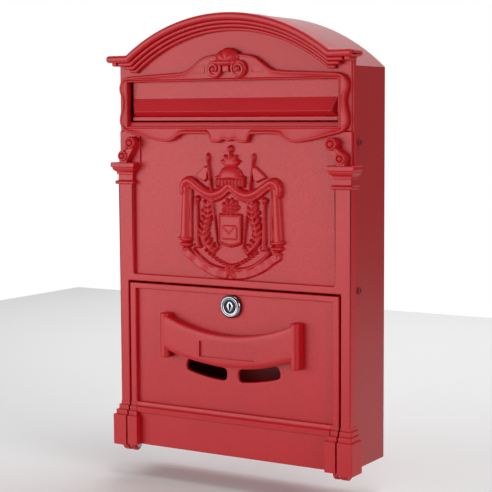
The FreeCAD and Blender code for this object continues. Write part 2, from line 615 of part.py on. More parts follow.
def back_panel():
    """Rear sheet with a flange that lies inside the case, and the wall-screw holes."""
    gap = SHEET + JOINT_GAP
    floor = CASE_FLOOR_RISE + SHEET + JOINT_GAP
    half = CASE_HALF - gap
    radius = CASE_RADIUS - gap
    pan = arched(half, floor, radius, ARCH_CENTRE, CASE_DEPTH - BACK_FLANGE, CASE_DEPTH)
    hollow = arched(half - SHEET, floor - 5, radius - SHEET, ARCH_CENTRE,
                    CASE_DEPTH - BACK_FLANGE - 1, CASE_DEPTH - SHEET)
    pan = pan.cut(hollow)
    for x in (-WALL_SCREW_SPACING_X / 2, WALL_SCREW_SPACING_X / 2):
        for z in (-WALL_SCREW_SPACING_Z / 2, WALL_SCREW_SPACING_Z / 2):
            pan = pan.cut(rod_y(WALL_SCREW_HOLE_RADIUS, CASE_DEPTH - 5, CASE_DEPTH + 5, x,
                                WALL_SCREW_CENTRE_HEIGHT + z))
    return pan


def bottom_plate():
    """Floor sheet with its front, rear and side flanges turned up."""
    half = TONGUE_HALF
    floor = CASE_FLOOR_RISE
    back = CASE_DEPTH - SHEET - JOINT_GAP
    front = CASTING_BACK + FLOOR_FRONT_SETBACK
    side_front = CASTING_BACK + TONGUE_REACH + BACK_PANEL_CLEAR
    side_back = CASE_DEPTH - BACK_FLANGE - BACK_PANEL_CLEAR
    top = floor + SHEET + FLOOR_FLANGE
    side = box(half - SHEET, half, side_front, side_back, floor, top)
    ends = half - FLOOR_CORNER_NOTCH
    return fused([box(-half, half, front, back, floor, floor + SHEET), side, mirrored(side),
                  box(-ends, ends, front, front + SHEET, floor, floor + SHEET + FLOOR_FRONT_FLANGE),
                  box(-ends, ends, back - SHEET, back, floor, top)])


def side_screw_depth():
    return CASTING_BACK + SIDE_SCREW_SETBACK


def side_screws():
    """Four pan-head screws that hold the case to the casting's tongue."""
    seat = CASE_HALF
    screws = []
    for height in SIDE_SCREW_HEIGHTS:
        depth = side_screw_depth()
        head = Part.makeCylinder(SIDE_SCREW_HEAD_RADIUS, SIDE_SCREW_HEAD_HEIGHT,
                                 vec(seat, depth, height), vec(1, 0, 0))
        head = head.makeFillet(SIDE_SCREW_HEAD_ROUND, [head.Edges[0]])
        floor = seat + SIDE_SCREW_HEAD_HEIGHT / 2
        top = seat + 2 * SIDE_SCREW_HEAD_HEIGHT
        long, wide = (size / 2 for size in SIDE_SCREW_CROSS)
        recess = box(floor, top, depth - wide, depth + wide, height - long, height + long)
        cross = box(floor, top, depth - long, depth + long, height - wide, height + wide)
        shank = rod_x(SIDE_SCREW_RADIUS, seat - SIDE_SCREW_REACH, seat + 0.2, depth, height)
        screws.append(fused([head, shank]).cut(recess).cut(cross))
    return Part.makeCompound(both_sides(screws))


# ---- letter flap ---------------------------------------------------------------------------
def slot_flap():
    """Flap plate with its wedge-shaped finger lip and the two hinge knuckles."""
    bottom = SLOT_BOTTOM + SILL_RISE + FLAP_LAP
    plate_top = ROD_HEIGHT
    sheet = box(-FLAP_HALF, FLAP_HALF, FLAP_FACE, FLAP_FACE + FLAP_THICKNESS, bottom, plate_top)
    lip_top = SLOT_TOP - LIP_TOP_BELOW_SLOT
    lip_low = lip_top - LIP_HEIGHT
    out = FLAP_FACE - LIP_REACH
    root = FLAP_FACE + FLAP_THICKNESS / 4
    ridge = FLAP_HALF - LIP_END_INSET
    top_left, top_right = vec(-FLAP_HALF, root, lip_top), vec(FLAP_HALF, root, lip_top)
    low_left, low_right = vec(-FLAP_HALF, root, lip_low), vec(FLAP_HALF, root, lip_low)
    out_left, out_right = vec(-ridge, out, lip_low), vec(ridge, out, lip_low)
    faces = [[top_left, out_left, out_right, top_right], [low_left, low_right, out_right, out_left],
             [top_left, top_right, low_right, low_left], [top_left, low_left, out_left],
             [top_right, out_right, low_right]]
    lip = Part.Solid(Part.Shell([Part.Face(Part.makePolygon(f + [f[0]])) for f in faces]))
    if lip.Volume < 0:
        lip.reverse()
    knuckles = []
    x1 = FLAP_HALF - KNUCKLE_END_INSET
    for x0 in (x1 - KNUCKLE_LENGTH, -x1):
        knuckles.append(rod_x(KNUCKLE_RADIUS, x0, x0 + KNUCKLE_LENGTH, ROD_DEPTH, ROD_HEIGHT))
    flap = fused([sheet, lip] + knuckles)
    bore = rod_x(ROD_RADIUS + RUNNING_CLEARANCE, -BODY_HALF, BODY_HALF, ROD_DEPTH, ROD_HEIGHT)
    return flap.cut(bore)


def flap_hinge_rod():
    reach = BEARING_INNER + ROD_BEARING_WIDTH + CLIP_THICKNESS + ROD_END_PAST_CLIP
    return rod_x(ROD_RADIUS, -reach, reach, ROD_DEPTH, ROD_HEIGHT)


def flap_rod_clips():
    """Push-on clips that keep the rod in its bearings."""
    x0 = BEARING_INNER + ROD_BEARING_WIDTH + CLIP_GAP
    clip = rod_x(CLIP_RADIUS, x0, x0 + CLIP_THICKNESS, ROD_DEPTH, ROD_HEIGHT)
    clip = clip.cut(rod_x(ROD_RADIUS, x0 - 1, x0 + 3, ROD_DEPTH, ROD_HEIGHT))
    return Part.makeCompound(both_sides([clip]))


# ---- door ----------------------------------------------------------------------------------
def hood():
    """Bowed band between two posts, closed along its top and open below, over the peep slots."""
    face = PANEL_FACE - HOOD_REACH
    half = HOOD_HALF_WIDTH - HOOD_POST_WIDTH / 2
    wall = HOOD_WALL
    band = plate([(-half, HOOD_BOTTOM_END), (-half, HOOD_TOP_END),
                  sagged_arc(half, HOOD_TOP_END, HOOD_TOP_MIDDLE), (half, HOOD_BOTTOM_END),
                  sagged_arc(-half, HOOD_BOTTOM_END, HOOD_BOTTOM_MIDDLE)],
                 face, PANEL_FACE + OVERLAP)
    inner = half - HOOD_POST_WIDTH / 2
    below = HOOD_BOTTOM_MIDDLE - wall
    room_end = HOOD_TOP_END - wall * HOOD_WALL_AT_ENDS
    room = plate([(-inner, below), (-inner, room_end),
                  sagged_arc(inner, room_end, HOOD_TOP_MIDDLE - wall),
                  (inner, below)], face + wall, PANEL_FACE)
    band = band.cut(room)
    label = box(-LABEL_WIDTH / 2, LABEL_WIDTH / 2, face - OVERLAP, face + LABEL_DEPTH,
                LABEL_CENTRE_HEIGHT - LABEL_HEIGHT / 2, LABEL_CENTRE_HEIGHT + LABEL_HEIGHT / 2)
    radius = HOOD_POST_WIDTH / 2
    nose = face + radius
    post = fused([box(half - radius, half + radius, nose, PANEL_FACE + OVERLAP,
                      HOOD_POST_BOTTOM, HOOD_POST_TOP),
                  Part.makeCylinder(radius, HOOD_POST_TOP - HOOD_POST_BOTTOM,
                                    vec(half, nose, HOOD_POST_BOTTOM))])
    return fused([band.cut(label)] + both_sides([post]))


def peep_slot():
    """Right-hand viewing slot: a band of an arc with rounded ends."""
    centre = PEEP_BOTTOM_MIDDLE + PEEP_BOTTOM_RADIUS
    low = PEEP_BOTTOM_RADIUS
    high = PEEP_BOTTOM_RADIUS - PEEP_HEIGHT
    corner = PEEP_CORNER
    soft = corner * (1 - math.sqrt(0.5))

    def place(radius, x):
        angle = math.asin(x / PEEP_BOTTOM_RADIUS)
        return (radius * math.sin(angle), centre - radius * math.cos(angle))

    middle_x = (PEEP_INNER_X + PEEP_OUTER_X) / 2
    outline = [place(low, PEEP_INNER_X + corner),
               place(low, middle_x) + place(low, PEEP_OUTER_X - corner),
               place(low - soft, PEEP_OUTER_X - soft) + place(low - corner, PEEP_OUTER_X),
               place(high + corner, PEEP_OUTER_X),
               place(high + soft, PEEP_OUTER_X - soft) + place(high, PEEP_OUTER_X - corner),
               place(high, middle_x) + place(high, PEEP_INNER_X + corner),
               place(high + soft, PEEP_INNER_X + soft) + place(high + corner, PEEP_INNER_X),
               place(low - corner, PEEP_INNER_X),
               place(low - soft, PEEP_INNER_X + soft) + place(low, PEEP_INNER_X + corner)]
    return plate(outline, PANEL_FACE - OVERLAP, DOOR_PANEL_BACK + OVERLAP)


def door_ear():
    """Right-hand hinge ear of the door, round the pin."""
    x1 = DOOR_HALF
    x0 = x1 - DOOR_EAR_LENGTH
    return fused([rod_x(HINGE_EAR_RADIUS, x0, x1, HINGE_DEPTH, HINGE_HEIGHT),
                  box(x0, x1, HINGE_EAR_FRONT, DOOR_PANEL_BACK, DOOR_FOOT,
                      DOOR_FOOT + HINGE_EAR_RISE)])


def door():
    """Cast door: rim, recessed panel, moulded foot, hood and hinge ears."""
    slab = box(-DOOR_HALF, DOOR_HALF, PILASTER_FACE, DOOR_PANEL_BACK, DOOR_FOOT, DOOR_TOP)
    recess = box(-DOOR_HALF + DOOR_RIM, DOOR_HALF - DOOR_RIM, PILASTER_FACE - OVERLAP, PANEL_FACE,
                 DOOR_PANEL_BOTTOM, DOOR_TOP - DOOR_TOP_RIM)
    slab = slab.cut(recess)
    ledge = box(-DOOR_HALF + DOOR_RIM, DOOR_HALF - DOOR_RIM, LEDGE_FACE, PANEL_FACE,
                LEDGE_BOTTOM, LEDGE_TOP)
    inner = DOOR_HALF - DOOR_BLOCK_WIDTH
    blocks = [box(inner + inset, DOOR_HALF, inset * FACE_SLOPE, PANEL_FACE, max(low, DOOR_FOOT), high)
              for low, high, inset in PLINTH_STEPS]
    casting = fused([slab, ledge] + both_sides(blocks) + [hood()] + both_sides([door_ear()]))
    hollow_half = inner - CAST_WALL
    casting = casting.cut(box(-hollow_half, hollow_half, PILASTER_FACE + CAST_WALL,
                              DOOR_PANEL_BACK + OVERLAP, DOOR_FOOT + CAST_WALL, LEDGE_BOTTOM))
    casting = casting.cut(peep_slot()).cut(mirrored(peep_slot()))
    lock_hole = flatted_barrel(LOCK_HOLE_CLEARANCE, PANEL_FACE - OVERLAP, DOOR_PANEL_BACK + OVERLAP)
    ear_inner = DOOR_HALF - DOOR_EAR_LENGTH
    pin_hole = rod_x(HINGE_PIN_RADIUS + RUNNING_CLEARANCE, ear_inner - OVERLAP,
                     DOOR_HALF + OVERLAP, HINGE_DEPTH, HINGE_HEIGHT)
    head_room = rod_x(PIN_HEAD_RADIUS + PIN_HEAD_CLEARANCE,
                      ear_inner - PIN_HEAD_THICKNESS - PIN_HEAD_ROOM, ear_inner,
                      HINGE_DEPTH, HINGE_HEIGHT)
    for hole in both_sides([pin_hole, head_room]):
        casting = casting.cut(hole)
    return casting.cut(lock_hole)


def door_hinge_pins():
    """Headed pins, pressed into the casting's ears from the inside of the door's ears."""
    head_back = DOOR_HALF - DOOR_EAR_LENGTH - HINGE_WASHER_GAP
    end = OPENING_HALF + CASTING_EAR_LENGTH
    pin = fused([rod_x(HINGE_PIN_RADIUS, head_back - 0.5, end, HINGE_DEPTH, HINGE_HEIGHT),
                 rod_x(PIN_HEAD_RADIUS, head_back - PIN_HEAD_THICKNESS, head_back,
                       HINGE_DEPTH, HINGE_HEIGHT)])
    return Part.makeCompound(both_sides([pin]))


def hinge_washers():
    """Nylon washers in the gap between the door's ears and the casting's ears."""
    x0 = DOOR_HALF + HINGE_WASHER_GAP
    x1 = x0 + HINGE_WASHER_THICKNESS
    washer = rod_x(HINGE_WASHER_RADIUS, x0, x1, HINGE_DEPTH, HINGE_HEIGHT)
    washer = washer.cut(rod_x(HINGE_PIN_RADIUS + RUNNING_CLEARANCE, x0 - 1, x1 + 1,
                              HINGE_DEPTH, HINGE_HEIGHT))
    return Part.makeCompound(both_sides([washer]))


# ---- cam lock ------------------------------------------------------------------------------
def flatted_barrel(clearance, y0, y1):
    """Round barrel with two flats, so that the lock can't turn in the door."""
    flat = LOCK_BARREL_FLAT + clearance
    barrel = rod_y(LOCK_BARREL_RADIUS + clearance, y0, y1, 0, LOCK_HEIGHT)
    return barrel.common(box(-flat, flat, y0, y1, LOCK_HEIGHT - 20, LOCK_HEIGHT + 20))


def lock_housing():
    """Chromed head and threaded barrel, bored for the plug."""
    head = rod_y(LOCK_HEAD_RADIUS, LOCK_FACE, PANEL_FACE, 0, LOCK_HEIGHT)
    head = head.makeChamfer(LOCK_HEAD_CHAMFER, [edge for edge in head.Edges
                                  if abs(edge.CenterOfMass.y - LOCK_FACE) < 0.01
                                  and edge.Closed])
    body = fused([head, flatted_barrel(0.0, PANEL_FACE - 0.5, LOCK_BACK)])
    lug = box(-STOP_LUG_HALF_WIDTH, STOP_LUG_HALF_WIDTH, LOCK_BACK - 0.5,
              LOCK_BACK + STOP_WASHER_THICKNESS, LOCK_HEIGHT + STOP_NOTCH_RADIUS + STOP_LUG_CLEARANCE,
              LOCK_HEIGHT + STOP_WASHER_RADIUS)
    body = fused([body, lug])
    bore = rod_y(PLUG_RADIUS + RUNNING_CLEARANCE, LOCK_FACE - 1, LOCK_BACK + 1, 0, LOCK_HEIGHT)
    seat = rod_y(PLUG_HEAD_RADIUS + RUNNING_CLEARANCE, LOCK_FACE - 1,
                 PLUG_FACE + PLUG_HEAD_LENGTH + RUNNING_CLEARANCE, 0, LOCK_HEIGHT)
    return body.cut(bore).cut(seat)


def wafer_depths():
    """Front faces of the wafers."""
    return [PLUG_FACE + WAFER_FIRST_DEPTH + n * WAFER_PITCH for n in range(WAFER_COUNT)]


def lock_plug():
    """Turning plug with keyway, wafer slots, square tail and a tapped hole for the cam screw."""
    tail_end = LOCK_BACK + PLUG_TAIL_LENGTH
    barrel = rod_y(PLUG_RADIUS, PLUG_FACE, LOCK_BACK, 0, LOCK_HEIGHT)
    head = rod_y(PLUG_HEAD_RADIUS, PLUG_FACE, PLUG_FACE + PLUG_HEAD_LENGTH, 0, LOCK_HEIGHT)
    tail = box(-PLUG_TAIL_HALF, PLUG_TAIL_HALF, LOCK_BACK - 0.5, tail_end,
               LOCK_HEIGHT - PLUG_TAIL_HALF, LOCK_HEIGHT + PLUG_TAIL_HALF)
    plug = fused([barrel, head, tail])
    keyway = box(-KEYWAY_WIDTH / 2, KEYWAY_WIDTH / 2, PLUG_FACE - 1, PLUG_FACE + KEYWAY_DEPTH,
                 LOCK_HEIGHT - KEYWAY_HEIGHT / 2, LOCK_HEIGHT + KEYWAY_HEIGHT / 2)
    plug = plug.cut(keyway)
    gap = WAFER_CLEARANCE
    half = WAFER_WIDTH / 2 + gap
    for depth in wafer_depths():
        plug = plug.cut(box(-half, half, depth - gap, depth + WAFER_THICKNESS + gap,
                            LOCK_HEIGHT - PLUG_RADIUS + WAFER_SLOT_FOOT, LOCK_HEIGHT + PLUG_RADIUS + 1))
    thread = rod_y(CAM_SCREW_RADIUS, tail_end - CAM_SCREW_LENGTH, tail_end + 1, 0, LOCK_HEIGHT)
    return plug.cut(thread)


def lock_wafers():
    """Sprung wafers in the plug, each with its window for the key."""
    wafers = []
    low = LOCK_HEIGHT - PLUG_RADIUS + WAFER_LOW_INSET
    high = LOCK_HEIGHT + PLUG_RADIUS - WAFER_HIGH_INSET
    for number, depth in enumerate(wafer_depths()):
        wafer = box(-WAFER_WIDTH / 2, WAFER_WIDTH / 2, depth, depth + WAFER_THICKNESS, low, high)
        shift = WAFER_WINDOW_STEP * (number % 3)
        window = box(-WAFER_WINDOW_HALF, WAFER_WINDOW_HALF, depth - 1,
                     depth + WAFER_THICKNESS + 1, low + WAFER_WINDOW_FOOT + shift,
                     high - WAFER_WINDOW_HEAD + shift / 2)
        wafers.append(wafer.cut(window))
    return Part.makeCompound(wafers)


def lock_nut():
    """Hexagon nut that clamps the lock to the door."""
    y0 = DOOR_PANEL_BACK + JOINT_GAP
    y1 = y0 + LOCK_NUT_THICKNESS
    corner = LOCK_NUT_ACROSS_FLATS / math.sqrt(3)
    points = [(corner * math.cos(math.radians(60 * n)),
               LOCK_HEIGHT + corner * math.sin(math.radians(60 * n))) for n in range(6)]
    return plate(points, y0, y1).cut(flatted_hole(y0 - 1, y1 + 1))


def flatted_hole(y0, y1):
    return rod_y(LOCK_BARREL_RADIUS, y0, y1, 0, LOCK_HEIGHT)


def square_hole(y0, y1):
    """Hole that fits the plug's square tail."""
    half = PLUG_TAIL_HALF + TAIL_CLEARANCE
    return box(-half, half, y0, y1, LOCK_HEIGHT - half, LOCK_HEIGHT + half)


def stop_washer():
    """Toothed washer that limits the plug to a quarter turn."""
    y0 = LOCK_BACK + STOP_WASHER_GAP
    y1 = y0 + STOP_WASHER_THICKNESS
    disc = rod_y(STOP_WASHER_RADIUS, y0, y1, 0, LOCK_HEIGHT)
    far = 3 * STOP_WASHER_RADIUS
    start = 90.0 - STOP_TURN - STOP_LUG_MARGIN
    rays = [start, start + (STOP_TURN + 2 * STOP_LUG_MARGIN) / 2, 90.0 + STOP_LUG_MARGIN]
    sector = plate([(0.0, LOCK_HEIGHT)]
                   + [(far * math.cos(math.radians(ray)),
                       LOCK_HEIGHT + far * math.sin(math.radians(ray))) for ray in rays],
                   y0 - 1, y1 + 1)
    notch = sector.cut(rod_y(STOP_NOTCH_RADIUS, y0 - 1, y1 + 1, 0, LOCK_HEIGHT))
    return disc.cut(notch).cut(square_hole(y0 - 1, y1 + 1))


def cam_front():
    return LOCK_BACK + STOP_WASHER_GAP + STOP_WASHER_THICKNESS


def lock_cam():
    """Locking tongue, lying level while the lock is open."""
    y0 = cam_front()
    y1 = y0 + CAM_THICKNESS
    half = CAM_WIDTH / 2
    tip = CAM_LENGTH - half - CAM_TIP_TAPER
    cam = plate([(0.0, LOCK_HEIGHT - half), (tip, LOCK_HEIGHT - half),
                 (tip + half, LOCK_HEIGHT, tip, LOCK_HEIGHT + half),
                 (0.0, LOCK_HEIGHT + half), (-half, LOCK_HEIGHT, 0.0, LOCK_HEIGHT - half)], y0, y1)
    return cam.cut(square_hole(y0 - 1, y1 + 1))


def cam_screw_washer():
    y0 = LOCK_BACK + PLUG_TAIL_LENGTH
    y1 = y0 + CAM_SCREW_WASHER_THICKNESS
    disc = rod_y(CAM_SCREW_HEAD_RADIUS + CAM_SCREW_WASHER_RIM, y0, y1, 0, LOCK_HEIGHT)
    return disc.cut(rod_y(CAM_SCREW_RADIUS + CAM_SCREW_WASHER_PLAY, y0 - 1, y1 + 1, 0, LOCK_HEIGHT))


def cam_screw():
    """Pan-head screw that holds the cam on the plug's tail."""
    seat = LOCK_BACK + PLUG_TAIL_LENGTH + CAM_SCREW_WASHER_THICKNESS
    shank = rod_y(CAM_SCREW_RADIUS, seat - CAM_SCREW_WASHER_THICKNESS - CAM_SCREW_LENGTH + CAM_SCREW_END_GAP,
                  seat + CAM_SCREW_CROSS_FLOOR / 2, 0, LOCK_HEIGHT)
    head = rod_y(CAM_SCREW_HEAD_RADIUS, seat, seat + CAM_SCREW_HEAD_LENGTH, 0, LOCK_HEIGHT)
    y1 = seat + CAM_SCREW_HEAD_LENGTH + 1
    floor = seat + CAM_SCREW_CROSS_FLOOR
    arm, half = CAM_SCREW_CROSS_HALF, CAM_SCREW_CROSS_WIDTH / 2
    slots = [box(-half, half, floor, y1, LOCK_HEIGHT - arm, LOCK_HEIGHT + arm),
             box(-arm, arm, floor, y1, LOCK_HEIGHT - half, LOCK_HEIGHT + half)]
    screw = fused([shank, head])
    return screw.cut(slots[0]).cut(slots[1])


# ---- all pieces ----------------------------------------------------------------------------
PIECES = {
    "front_casting": front_casting,
    "case_shell": case_shell,
    "back_panel": back_panel,
    "bottom_plate": bottom_plate,
    "side_screws": side_screws,
    "slot_flap": slot_flap,
    "flap_hinge_rod": flap_hinge_rod,
    "flap_rod_clips": flap_rod_clips,
    "door": door,
    "door_hinge_pins": door_hinge_pins,
    "hinge_washers": hinge_washers,
    "lock_housing": lock_housing,
    "lock_nut": lock_nut,
    "lock_plug": lock_plug,
    "lock_wafers": lock_wafers,
    "stop_washer": stop_washer,
    "lock_cam": lock_cam,
    "cam_screw_washer": cam_screw_washer,
    "cam_screw": cam_screw,
}


def save_all():
    os.makedirs("parts", exist_ok=True)
    to_origin = vec(0.0, -CASE_DEPTH, -WALL_SCREW_CENTRE_HEIGHT)
    for name, build in PIECES.items():
        shape = build()
        shape.translate(to_origin)
        shape.exportStep("parts/" + name + ".step")
        solids = shape.Solids
        print(name, "solids", len(solids), "valid", shape.isValid(),
              "volume", round(sum(solid.Volume for solid in solids), 1))


save_all()
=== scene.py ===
"""Looks of a wall letterbox: a cast front with an arched cornice, a letter slot and a drop-down
door, powder-coated red, on a sheet-steel case.

Lengths are millimetres in the cabinet frame: X to the right, Y back from the face of the plinth
to the wall, Z up from the foot of the plinth. settle() turns them into metres in the row frame.
"""
import math

import bmesh
import bpy
import numpy as np
from mathutils import Matrix, Vector
from mathutils.geometry import tessellate_polygon


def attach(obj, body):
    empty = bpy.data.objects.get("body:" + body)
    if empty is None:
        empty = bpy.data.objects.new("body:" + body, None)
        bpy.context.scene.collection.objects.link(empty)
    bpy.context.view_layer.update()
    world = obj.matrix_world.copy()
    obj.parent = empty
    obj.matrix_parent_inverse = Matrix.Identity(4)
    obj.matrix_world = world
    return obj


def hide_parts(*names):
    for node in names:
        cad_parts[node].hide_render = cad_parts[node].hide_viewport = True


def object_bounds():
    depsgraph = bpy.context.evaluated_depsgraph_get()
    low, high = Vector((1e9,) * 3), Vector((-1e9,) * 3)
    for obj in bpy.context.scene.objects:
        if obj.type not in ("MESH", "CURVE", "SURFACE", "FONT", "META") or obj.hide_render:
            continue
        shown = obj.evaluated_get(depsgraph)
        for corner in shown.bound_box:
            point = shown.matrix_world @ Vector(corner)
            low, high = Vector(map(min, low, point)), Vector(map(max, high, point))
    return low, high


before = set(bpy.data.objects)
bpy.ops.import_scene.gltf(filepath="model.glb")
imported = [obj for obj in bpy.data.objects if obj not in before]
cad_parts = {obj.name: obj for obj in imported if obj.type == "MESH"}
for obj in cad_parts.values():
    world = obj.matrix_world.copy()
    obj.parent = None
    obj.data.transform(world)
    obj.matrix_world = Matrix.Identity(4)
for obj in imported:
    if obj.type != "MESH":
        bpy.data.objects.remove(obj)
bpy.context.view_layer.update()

# ---- sizes of the cabinet, in millimetres ---------------------------------------------------
WALL_DEPTH = 76.5             # plinth face to wall
ORIGIN_HEIGHT = 205.0         # centre of the wall screws above the foot
BODY_HALF = 125.0
BLOCK_HALF = 130.0            # plinth
EAVES = 374.0
ARCH_RADIUS = 180.0
ARCH_CENTRE = 230.0
KINK = 108.0                  # half width where the arch turns level
GROUND_FACE = 10.4            # plain ground above the slot
GROUND_FOOT = 303.0
PANEL_FACE = 11.0
WALL_BACK = 14.0              # back of the cast walls
CASTING_BACK = 16.5           # rear edge of the casting's side
BLOCK_BACK = 19.4             # rear end of the plinth, capital and cornice blocks
PILASTER_FACE = 7.0
SHAFT_INNER = 108.7
SLOT_HALF = 112.8
SLOT_LOW = 307.5
SLOT_HIGH = 349.0
SLOT_WALL_BACK = 10.2
FLAP_ROOM = 3.5               # height over the slot, behind its surround, where the flap turns
SLOT_WALL_TOP_BACK = 8.2      # the lintel stops short, clear of the open flap
OPENING_HALF = 115.0
OPENING_TOP = 160.2
PANEL_BOTTOM = 167.0
CAPITAL_FOOT = 252.5
DOOR_HALF = 113.2
DOOR_FOOT = 1.4
DOOR_TOP = 158.4
HINGE_DEPTH = 11.0
LUG_RADIUS = 6.2
LOCK_HEIGHT = 142.0
FINE = 5                      # points on a small rounding


# ---- shapes as arrays ------------------------------------------------------------------------
def settle(points):
    """Cabinet millimetres to row metres: shift by the wall depth and the origin's height."""
    return (np.asarray(points, float) - (0.0, WALL_DEPTH, ORIGIN_HEIGHT)) * 0.001


def lattice(points, closed_u=False, closed_v=False):
    """Surface over a grid points[u, v]: a four-sided face between neighbours, wrapped if closed."""
    index = np.arange(points.shape[0] * points.shape[1]).reshape(points.shape[:2])
    if closed_u:
        index = np.vstack([index, index[:1]])
    if closed_v:
        index = np.hstack([index, index[:, :1]])
    quads = np.stack([index[:-1, :-1], index[1:, :-1], index[1:, 1:], index[:-1, 1:]], -1)
    return points.reshape(-1, 3), [quads.reshape(-1, 4)]


def stack(rings):
    """Closed solid from rings[u, v]: v runs round each ring, and both end rings are capped."""
    rings = np.asarray(rings, float)
    points, quads = lattice(rings, closed_v=True)
    count = rings.shape[1]
    first = np.arange(count)[None, ::-1]
    last = (len(points) - count + np.arange(count))[None]
    return points, quads + [first, last]


def mirrored(part):
    """The part reflected in the plane X = 0."""
    points, groups = part
    return points * (-1.0, 1.0, 1.0), [group[:, ::-1] for group in groups]


def both(parts):
    """The parts and their reflections."""
    return parts + [mirrored(part) for part in parts]


def upright(outline, depth):
    """Outline (x, z) set upright at one depth: points (x, depth, z)."""
    outline = np.asarray(outline, float)
    return np.column_stack([outline[:, 0], np.full(len(outline), depth), outline[:, 1]])


def inset(outline, distance):
    """Anticlockwise outline moved inwards along the mitre of the sides that meet at each point."""
    outline = np.asarray(outline, float)
    ahead = np.roll(outline, -1, 0) - outline
    ahead = ahead / np.linalg.norm(ahead, axis=1, keepdims=True)
    left_of = np.column_stack([-ahead[:, 1], ahead[:, 0]])
    other = np.roll(left_of, 1, 0)
    share = 1.0 + np.sum(left_of * other, axis=1, keepdims=True)
    return outline + distance * (left_of + other) / np.maximum(share, 0.35)


def eased(outline, radius, steps=FINE):
    """Outline with each corner cut back by radius and rounded: a parabola with the corner as its
    control point. radius is one number or one for each corner."""
    outline = np.asarray(outline, float)
    radius = np.broadcast_to(np.asarray(radius, float), (len(outline),))[:, None]
    to_last = np.roll(outline, 1, 0) - outline
    to_next = np.roll(outline, -1, 0) - outline
    start = outline + radius * to_last / np.linalg.norm(to_last, axis=1, keepdims=True)
    end = outline + radius * to_next / np.linalg.norm(to_next, axis=1, keepdims=True)
    s = np.linspace(0.0, 1.0, steps)[None, :, None]
    curve = ((1 - s) ** 2 * start[:, None] + 2 * s * (1 - s) * outline[:, None]
             + s ** 2 * end[:, None])
    return curve.reshape(-1, 2)


def smooth_line(knots, per_span=8):
    """Catmull-Rom curve through the knots: each span is the cubic whose slopes at its ends are half
    the difference of the knots on either side."""
    knots = np.asarray(knots, float)
    padded = np.vstack([2 * knots[0] - knots[1], knots, 2 * knots[-1] - knots[-2]])
    s = np.linspace(0.0, 1.0, per_span, endpoint=False)[None, :, None]
    a, b, c, d = (padded[i:len(padded) - 3 + i, None] for i in range(4))
    curve = 0.5 * (2 * b + (c - a) * s + (2 * a - 5 * b + 4 * c - d) * s ** 2
                   + (3 * b - a - 3 * c + d) * s ** 3)
    return np.vstack([curve.reshape(-1, knots.shape[1]), knots[-1:]])


def resampled(line, count):
    """The line cut into count points at equal distances along it."""
    steps = np.linalg.norm(np.diff(line, axis=0), axis=1)
    along = np.concatenate([[0.0], np.cumsum(steps)])
    want = np.linspace(0.0, along[-1], count)
    return np.column_stack([np.interp(want, along, line[:, k]) for k in range(line.shape[1])])


def quarter(radius, steps=FINE):
    """Quarter round as (inset, setback): from the wall, at setback radius, to the face at 0."""
    angle = np.linspace(0.0, math.pi / 2, steps)
    return [(radius * (1 - math.cos(a)), radius * (1 - math.sin(a))) for a in angle]


def pad(outline, face, back, ease=0.8, holes=(), hole_ease=0.8):
    """Solid plate from back to face with a quarter round at its front arrises. Walls are rings of
    the outline; front and back are tessellated, so that holes, given as anticlockwise outlines,
    stay open."""
    rings = [upright(outline, back)] + [upright(inset(outline, i), face + s)
                                        for i, s in quarter(ease)]
    loops = [np.stack(rings)]
    for hole in holes:
        rings = [upright(hole, back)] + [upright(inset(hole, -i), face + s)
                                         for i, s in quarter(hole_ease)]
        loops.append(np.stack(rings))
    parts, front, rear, start = [], [], [], 0
    for rings in loops:
        points, quads = lattice(rings, closed_v=True)
        parts.append((points, quads[0] + start))
        count = rings.shape[1]
        rear.append(start + np.arange(count))
        front.append(start + len(points) - count + np.arange(count))
        start += len(points)
    points = np.concatenate([p for p, _ in parts])
    groups = [q for _, q in parts]
    for ids in (front, rear):
        flat = np.concatenate(ids)
        loops_2d = [[Vector((points[i][0], points[i][2], 0.0)) for i in loop] for loop in ids]
        groups.append(flat[np.array(tessellate_polygon(loops_2d))])
    return points, groups


def bar_x(section, x0, x1):
    """Prism along X: the section (y, z) repeated at x0 and x1."""
    section = np.asarray(section, float)
    ends = [np.column_stack([np.full(len(section), x), section]) for x in (x0, x1)]
    return stack(ends)


def rounded_box(low, high, radius, steps=4):
    """Box with round edges: each point of a small sphere is carried to the corner of its octant."""
    low, high = np.asarray(low, float), np.asarray(high, float)
    turn = np.linspace(0.0, math.pi / 2, steps)
    lon = np.concatenate([turn + k * math.pi / 2 for k in range(4)])
    lat = np.concatenate([turn - math.pi / 2, turn])
    side_x = np.repeat([1, -1, -1, 1], steps)
    side_y = np.repeat([1, 1, -1, -1], steps)
    side_z = np.repeat([-1, 1], steps)
    core = (high - low) / 2 - radius
    x = side_x * core[0] + radius * np.outer(np.cos(lat), np.cos(lon))
    y = side_y * core[1] + radius * np.outer(np.cos(lat), np.sin(lon))
    z = np.broadcast_to((side_z * core[2] + radius * np.sin(lat))[:, None], x.shape)
    return stack(np.stack([x, y, z], -1) + (low + high) / 2)


def turned(profile, x, z, steps=64, hollow=False):
    """Turned solid about an axis along Y through (x, z): profile (radius, depth), end to end; a
    hollow one joins its last point to its first instead of having caps."""
    profile = np.asarray(profile, float)
    angle = np.linspace(0.0, 2 * math.pi, steps, endpoint=False)
    points = np.stack([x + np.outer(profile[:, 0], np.cos(angle)),
                       np.repeat(profile[:, 1:2], steps, 1),
                       z + np.outer(profile[:, 0], np.sin(angle))], -1)
    return lattice(points, closed_u=True, closed_v=True) if hollow else stack(points)


